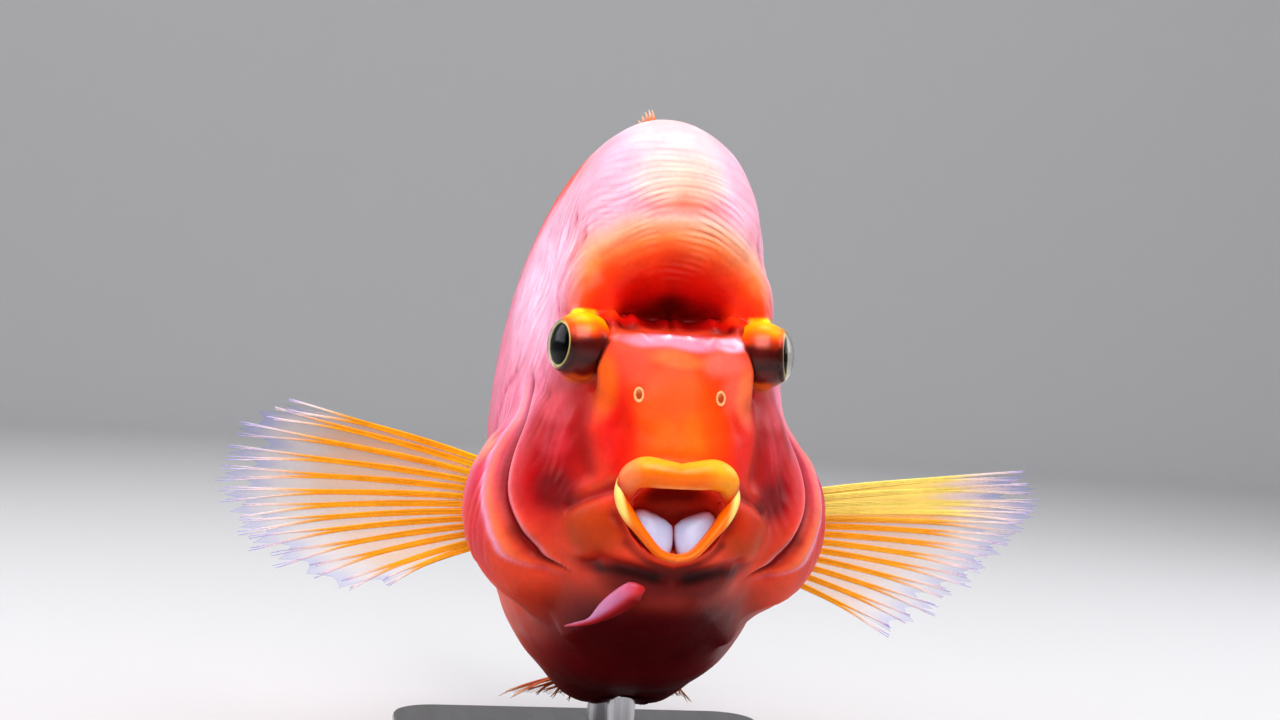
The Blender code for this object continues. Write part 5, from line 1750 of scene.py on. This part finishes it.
@dataclass
class FinSet:
    """All the fins, from the named rays of each."""

    flesh: Flesh
    dorsal_rays: tuple[Point, ...] = (
        (45, 9, 36), (60, 12, 20), (80, 14, 8), (95, 15, -5), (105, 17, -11), (114, 25, 3),
        (123, 32, 10), (131, 26, 1), (136, 16, -10),
    )
    anal_rays: tuple[Point, ...] = (
        (98, 9, 6), (106, 13, -2), (114, 23, -22), (122, 32, -20), (130, 26, -9), (135, 15, 2),
    )
    right_roots: tuple[Point, Point] = ((24, 56.5, 3), (24, 60, -11))
    left_roots: tuple[Point, Point] = ((24, 56.5, -1), (24, 60, -13.5))
    right_tips: tuple[tuple[float, float], ...] = (
        (70.4, 13.6), (75.5, 12), (79.5, 8), (81.5, 3), (82.3, -1.5), (82, -6), (80.8, -9.5),
        (78.5, -12.5), (75.5, -15.5), (70, -18.5), (64, -21), (57, -23.3), (48, -21.5),
    )
    left_tips: tuple[tuple[float, float], ...] = (
        (84, 6.6), (86, 4), (87, 0.5), (86, -2), (84, -4.5), (81.5, -7), (79, -10),
        (76, -13), (73, -16), (69, -19), (65, -22), (61, -24.8), (56, -27),
    )
    right_sweep: float = 0.42
    left_sweep: float = -0.03
    pelvic_roots: tuple[Point, Point] = ((9.5, 57, -36.5), (5, 63, -38.5))
    pelvic_tips: tuple[Point, ...] = (
        (19, 84, -46.5), (20.5, 93, -47.5), (18, 95, -47.5), (14.5, 92, -47), (11, 88, -46.5),
        (8, 83, -46),
    )
    caudal_place: float = 154
    caudal_middle: float = 16
    caudal_half: float = 12.5
    caudal_length: float = 41
    caudal_spread: float = math.radians(26)

    def middle(self, table: Sequence[Point], count: int, upper: bool, sunk: float) -> tuple[Array, Array]:
        """Roots and tips of a fin along the back or the belly."""
        rows = np.array(table, float)
        at = np.linspace(rows[0, 0], rows[-1, 0], count)
        length = smooth_curve(rows[:, 0], rows[:, 1], at)
        angle = np.radians(smooth_curve(rows[:, 0], rows[:, 2], at))
        top, _, bottom, _ = self.flesh.section(at)
        root = np.stack([0 * at, at, (top if upper else bottom) + sunk], axis=1)
        way = np.stack([0 * at, np.cos(angle), np.sin(angle)], axis=1)
        return root, root + (length + abs(sunk))[:, None] * way

    def pectoral(self, side: int) -> RayFin:
        """The pectoral fin of one side."""
        left = side > 0
        ends = self.left_roots if left else self.right_roots
        tips = self.left_tips if left else self.right_tips
        sweep = self.left_sweep if left else self.right_sweep
        places = np.array([(x * side, 57 + sweep * (x - 28), z) for x, z in tips])
        share = np.linspace(0, 1, len(places))[:, None]
        roots = (np.array(ends[0]) * (1 - share) + np.array(ends[1]) * share) * (side, 1, 1)
        word = "left" if left else "right"
        return RayFin(
            "pectoral_" + word, roots, places, bow=(0, 2.5, 0.9), width=1.2, thickness=0.8, seed=7 + side,
            sheet=4.5 if left else 0.0,
            replaced=("pectoral_fin_" + word,),
        )

    def pelvic(self, side: int) -> RayFin:
        """The pelvic fin of one side."""
        places = np.array(self.pelvic_tips) * (side, 1, 1)
        share = np.linspace(0, 1, len(places))[:, None]
        ends = self.pelvic_roots
        roots = (np.array(ends[0]) * (1 - share) + np.array(ends[1]) * share) * (side, 1, 1)
        word = "left" if side > 0 else "right"
        return RayFin(
            "pelvic_" + word, roots, places, bow=(0, 0, 0.8), width=1.3, seed=17 + side, spines=1,
            bases=(tone(250, 96, 30), tone(240, 70, 20)), middles=(tone(246, 110, 40),) * 2,
            pale=tone(250, 190, 150), tip_colour=tone(250, 200, 170),
            replaced=("pelvic_fin_" + word,),
        )

    def every_fin(self) -> list[RayFin]:
        """The seven fins."""
        warm = {
            "bases": (tone(236, 84, 30), tone(236, 84, 30)),
            "middles": (tone(244, 112, 44), tone(244, 112, 44)),
            "pale": tone(250, 186, 150),
            "tip_colour": tone(250, 200, 180),
            "pale_from": 0.6,
        }
        dorsal = RayFin(
            "dorsal", *self.middle(self.dorsal_rays, 28, True, -2.5), width=1.5, spines=17,
            scallop=0.16, seed=3, replaced=("dorsal_fin",), **warm,
        )
        anal = RayFin(
            "anal", *self.middle(self.anal_rays, 16, False, 2.5), width=1.5, spines=7,
            scallop=0.14, seed=5, replaced=("anal_fin",), **warm,
        )
        share = np.linspace(-1, 1, 17)
        root = np.stack(
            [0 * share, 0 * share + self.caudal_place, self.caudal_middle + self.caudal_half * share], 1
        )
        angle = self.caudal_spread * share
        way = np.stack([0 * share, np.cos(angle), np.sin(angle)], axis=1)
        tip = root + way * (self.caudal_length - 3 * share**2)[:, None]
        tail = RayFin(
            "tail", root, tip, width=1.9, seed=9, scallop=0.06, replaced=("tail_fin",), **warm
        )
        paired = [self.pectoral(1), self.pectoral(-1), self.pelvic(1), self.pelvic(-1)]
        return [dorsal, anal, tail, *paired]


@dataclass
class Stand:
    """The plain display stand, which keeps its solids and gets its finishes here."""

    lacquer: Plain = Plain("black_lacquer", (0.03, 0.027, 0.025), 0.3, coat=0.6, stretch=(1, 0.12, 1))
    steel: Plain = Plain("brushed_steel", (0.56, 0.56, 0.58), 0.3, metallic=1.0, stretch=(1, 1, 0.05))

    def dress(self, nodes: dict[str, bpy.types.Object]) -> None:
        """Gives the plate and the rods their materials."""
        steel = self.steel.material()
        for name, material in (
            ("stand_base", self.lacquer.material()),
            ("stand_rod_front", steel),
            ("stand_rod_rear", steel),
        ):
            mesh = nodes[name].data
            mesh.materials.clear()
            mesh.materials.append(material)
            LOG.info("%s: dressed", name)


@dataclass
class Studio:
    """Pale floor and backdrop, soft lights and the camera of the photograph."""

    camera_turn: float = math.radians(-9)
    camera_roll: float = math.radians(3)
    distance: float = 330.0
    aside: float = 8.3
    height: float = 26.0
    lens: float = 54.76

    def sweep(self) -> bpy.types.Object:
        """The floor, which curves up into a round backdrop."""
        bm = bmesh.new()
        bend = [
            (1.5 + 0.6 * math.sin(a), 0, 0.6 - 0.6 * math.cos(a)) for a in np.linspace(0.08, 1.57, 18)
        ]
        profile = [(0.001, 0, 0), (0.5, 0, 0), (1.5, 0, 0), *bend, (2.1, 0, 2.6)]
        verts = [bm.verts.new(place) for place in profile]
        edges = [bm.edges.new(pair) for pair in zip(verts, verts[1:])]
        bmesh.ops.spin(
            bm, geom=verts + edges, cent=(0, 0, 0), axis=(0, 0, 1), angle=math.tau, steps=128,
            use_merge=True,
        )
        bmesh.ops.remove_doubles(bm, verts=bm.verts, dist=1e-5)
        bmesh.ops.translate(bm, verts=bm.verts, vec=(0, 0, -0.0002))
        bmesh.ops.recalc_face_normals(bm, faces=bm.faces)
        obj = bpy.data.objects.new("floor", mesh_from(bm, "floor"))
        obj.data.polygons.foreach_set("use_smooth", [True] * len(obj.data.polygons))
        obj.data.materials.append(Plain("pale_floor", (0.7, 0.7, 0.71), 0.7, grain=0.0).material())
        bpy.context.scene.collection.objects.link(obj)
        return obj

    @staticmethod
    def light(
        name: str, place: Point, size: float, power: float, warmth: Colour,
        target: Point = (0, 25, 15),
    ) -> None:
        """A soft square light.

        Args:
            name: The light's name.
            place: Where it hangs, in metres.
            size: The length of its sides, in metres.
            power: Its power in watts.
            warmth: Its colour.
            target: What it looks at, in millimetres from the mouth.
        """
        data = bpy.data.lights.new(name, "AREA")
        data.size, data.energy, data.color = size, power, warmth
        obj = bpy.data.objects.new(name, data)
        obj.location = place
        aim = Vector(to_world(np.array(target))) - Vector(place)
        obj.rotation_mode = "QUATERNION"
        obj.rotation_quaternion = aim.to_track_quat("-Z", "Y")
        bpy.context.scene.collection.objects.link(obj)

    def build(self) -> None:
        """Makes floor, lights, world and camera."""
        scene = bpy.context.scene
        scene.view_settings.view_transform = "Standard"
        scene.view_settings.look = "Medium High Contrast"
        self.sweep()
        self.light("key", (-0.05, -0.44, 0.6), 0.5, 4.8, (1, 0.98, 0.96))
        self.light("side", (0.6, 0.1, 0.4), 0.5, 1.8, (0.95, 0.96, 1))
        self.light("other_side", (-0.6, 0.1, 0.4), 0.5, 1.8, (0.97, 0.95, 1))
        self.light("backdrop", (0, 0.35, 1.1), 0.8, 8.0, (1, 1, 1), (0, 1900, 200))
        world = bpy.data.worlds.new("studio")
        world.use_nodes = True
        world.node_tree.nodes["Background"].inputs["Color"].default_value = (0.9, 0.93, 1, 1)
        world.node_tree.nodes["Background"].inputs["Strength"].default_value = 0.16
        scene.world = world
        data = bpy.data.cameras.new("camera")
        data.lens, data.sensor_width, data.clip_start = self.lens, 36.0, 0.01
        camera = bpy.data.objects.new("camera", data)
        turn = self.camera_turn
        back = Vector((math.sin(turn), -math.cos(turn), 0))
        right = Vector((math.cos(turn), math.sin(turn), 0))
        mouth = Vector(to_world(np.zeros(3)))
        camera.location = (
            mouth + back * self.distance * MM - right * self.aside * MM + Vector((0, 0, self.height * MM))
        )
        camera.rotation_mode = "QUATERNION"
        camera.rotation_quaternion = (-back).to_track_quat("-Z", "Y") @ Quaternion(
            (0, 0, 1), self.camera_roll
        )
        scene.collection.objects.link(camera)
        scene.camera = camera


def main() -> None:
    """Builds every piece in order."""
    logging.basicConfig(level=logging.INFO, format="%(message)s")
    for obj in list(bpy.data.objects):
        bpy.data.objects.remove(obj)
    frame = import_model()
    flesh = Flesh()
    markings = Markings(flesh)
    ball = SkinBall(flesh)
    hide = Living("skin", gloss=0.18, folds=0.00022).material()
    Skin(flesh, markings).build(hide)
    lips = Living("lips", roughness=0.4, mottle=0.15, coat=0.12, depth=0.0015).material()
    for name in ("upper_lip", "lower_lip"):
        Lips().build(name, lips)
    ThroatFold().build(lips)
    MouthPads().build(Living("mouth_pads", roughness=0.4, mottle=0.1, coat=0.3).material())
    globe = Living("eye_globe", roughness=0.35, mottle=0.3, grain=0.5, coat=0.4, translucence=0.05).material()
    clear = Plain("eye_clear", (1, 1, 1), 0.08, transmission=1.0, ior=1.2, grain=0.0).material()
    black = Plain("eye_black", (0.002, 0.002, 0.003), 0.9, gloss=0.0).material()
    for side in (1, -1):
        eye = Eye(side)
        eye.globe(globe)
        eye.black_pupil(black)
        eye.clear_front(clear)
        Nostril(side).build(flesh, ball, lips)
    plates = Living("scales", roughness=0.42, mottle=0.2, coat=0.15, depth=0.0015).material()
    scales = Scales(flesh, ball, markings)
    for side in (1, -1):
        scales.build(side, plates)
    rays = Living("fin_rays", roughness=0.45, mottle=0.2, coat=0.1, translucence=0.2, depth=0.001).material()
    web = Living("fin_web", roughness=0.3, mottle=0.1, coat=0.2, translucence=0.0, alpha=1.0 - 1e-4).material()
    for fin in FinSet(flesh).every_fin():
        fin.build_rays(rays, "fin")
        fin.build_membrane(web, "fin")
    Stand().dress(frame["nodes"])
    Studio().build()


if __name__ == "__main__":
    main()
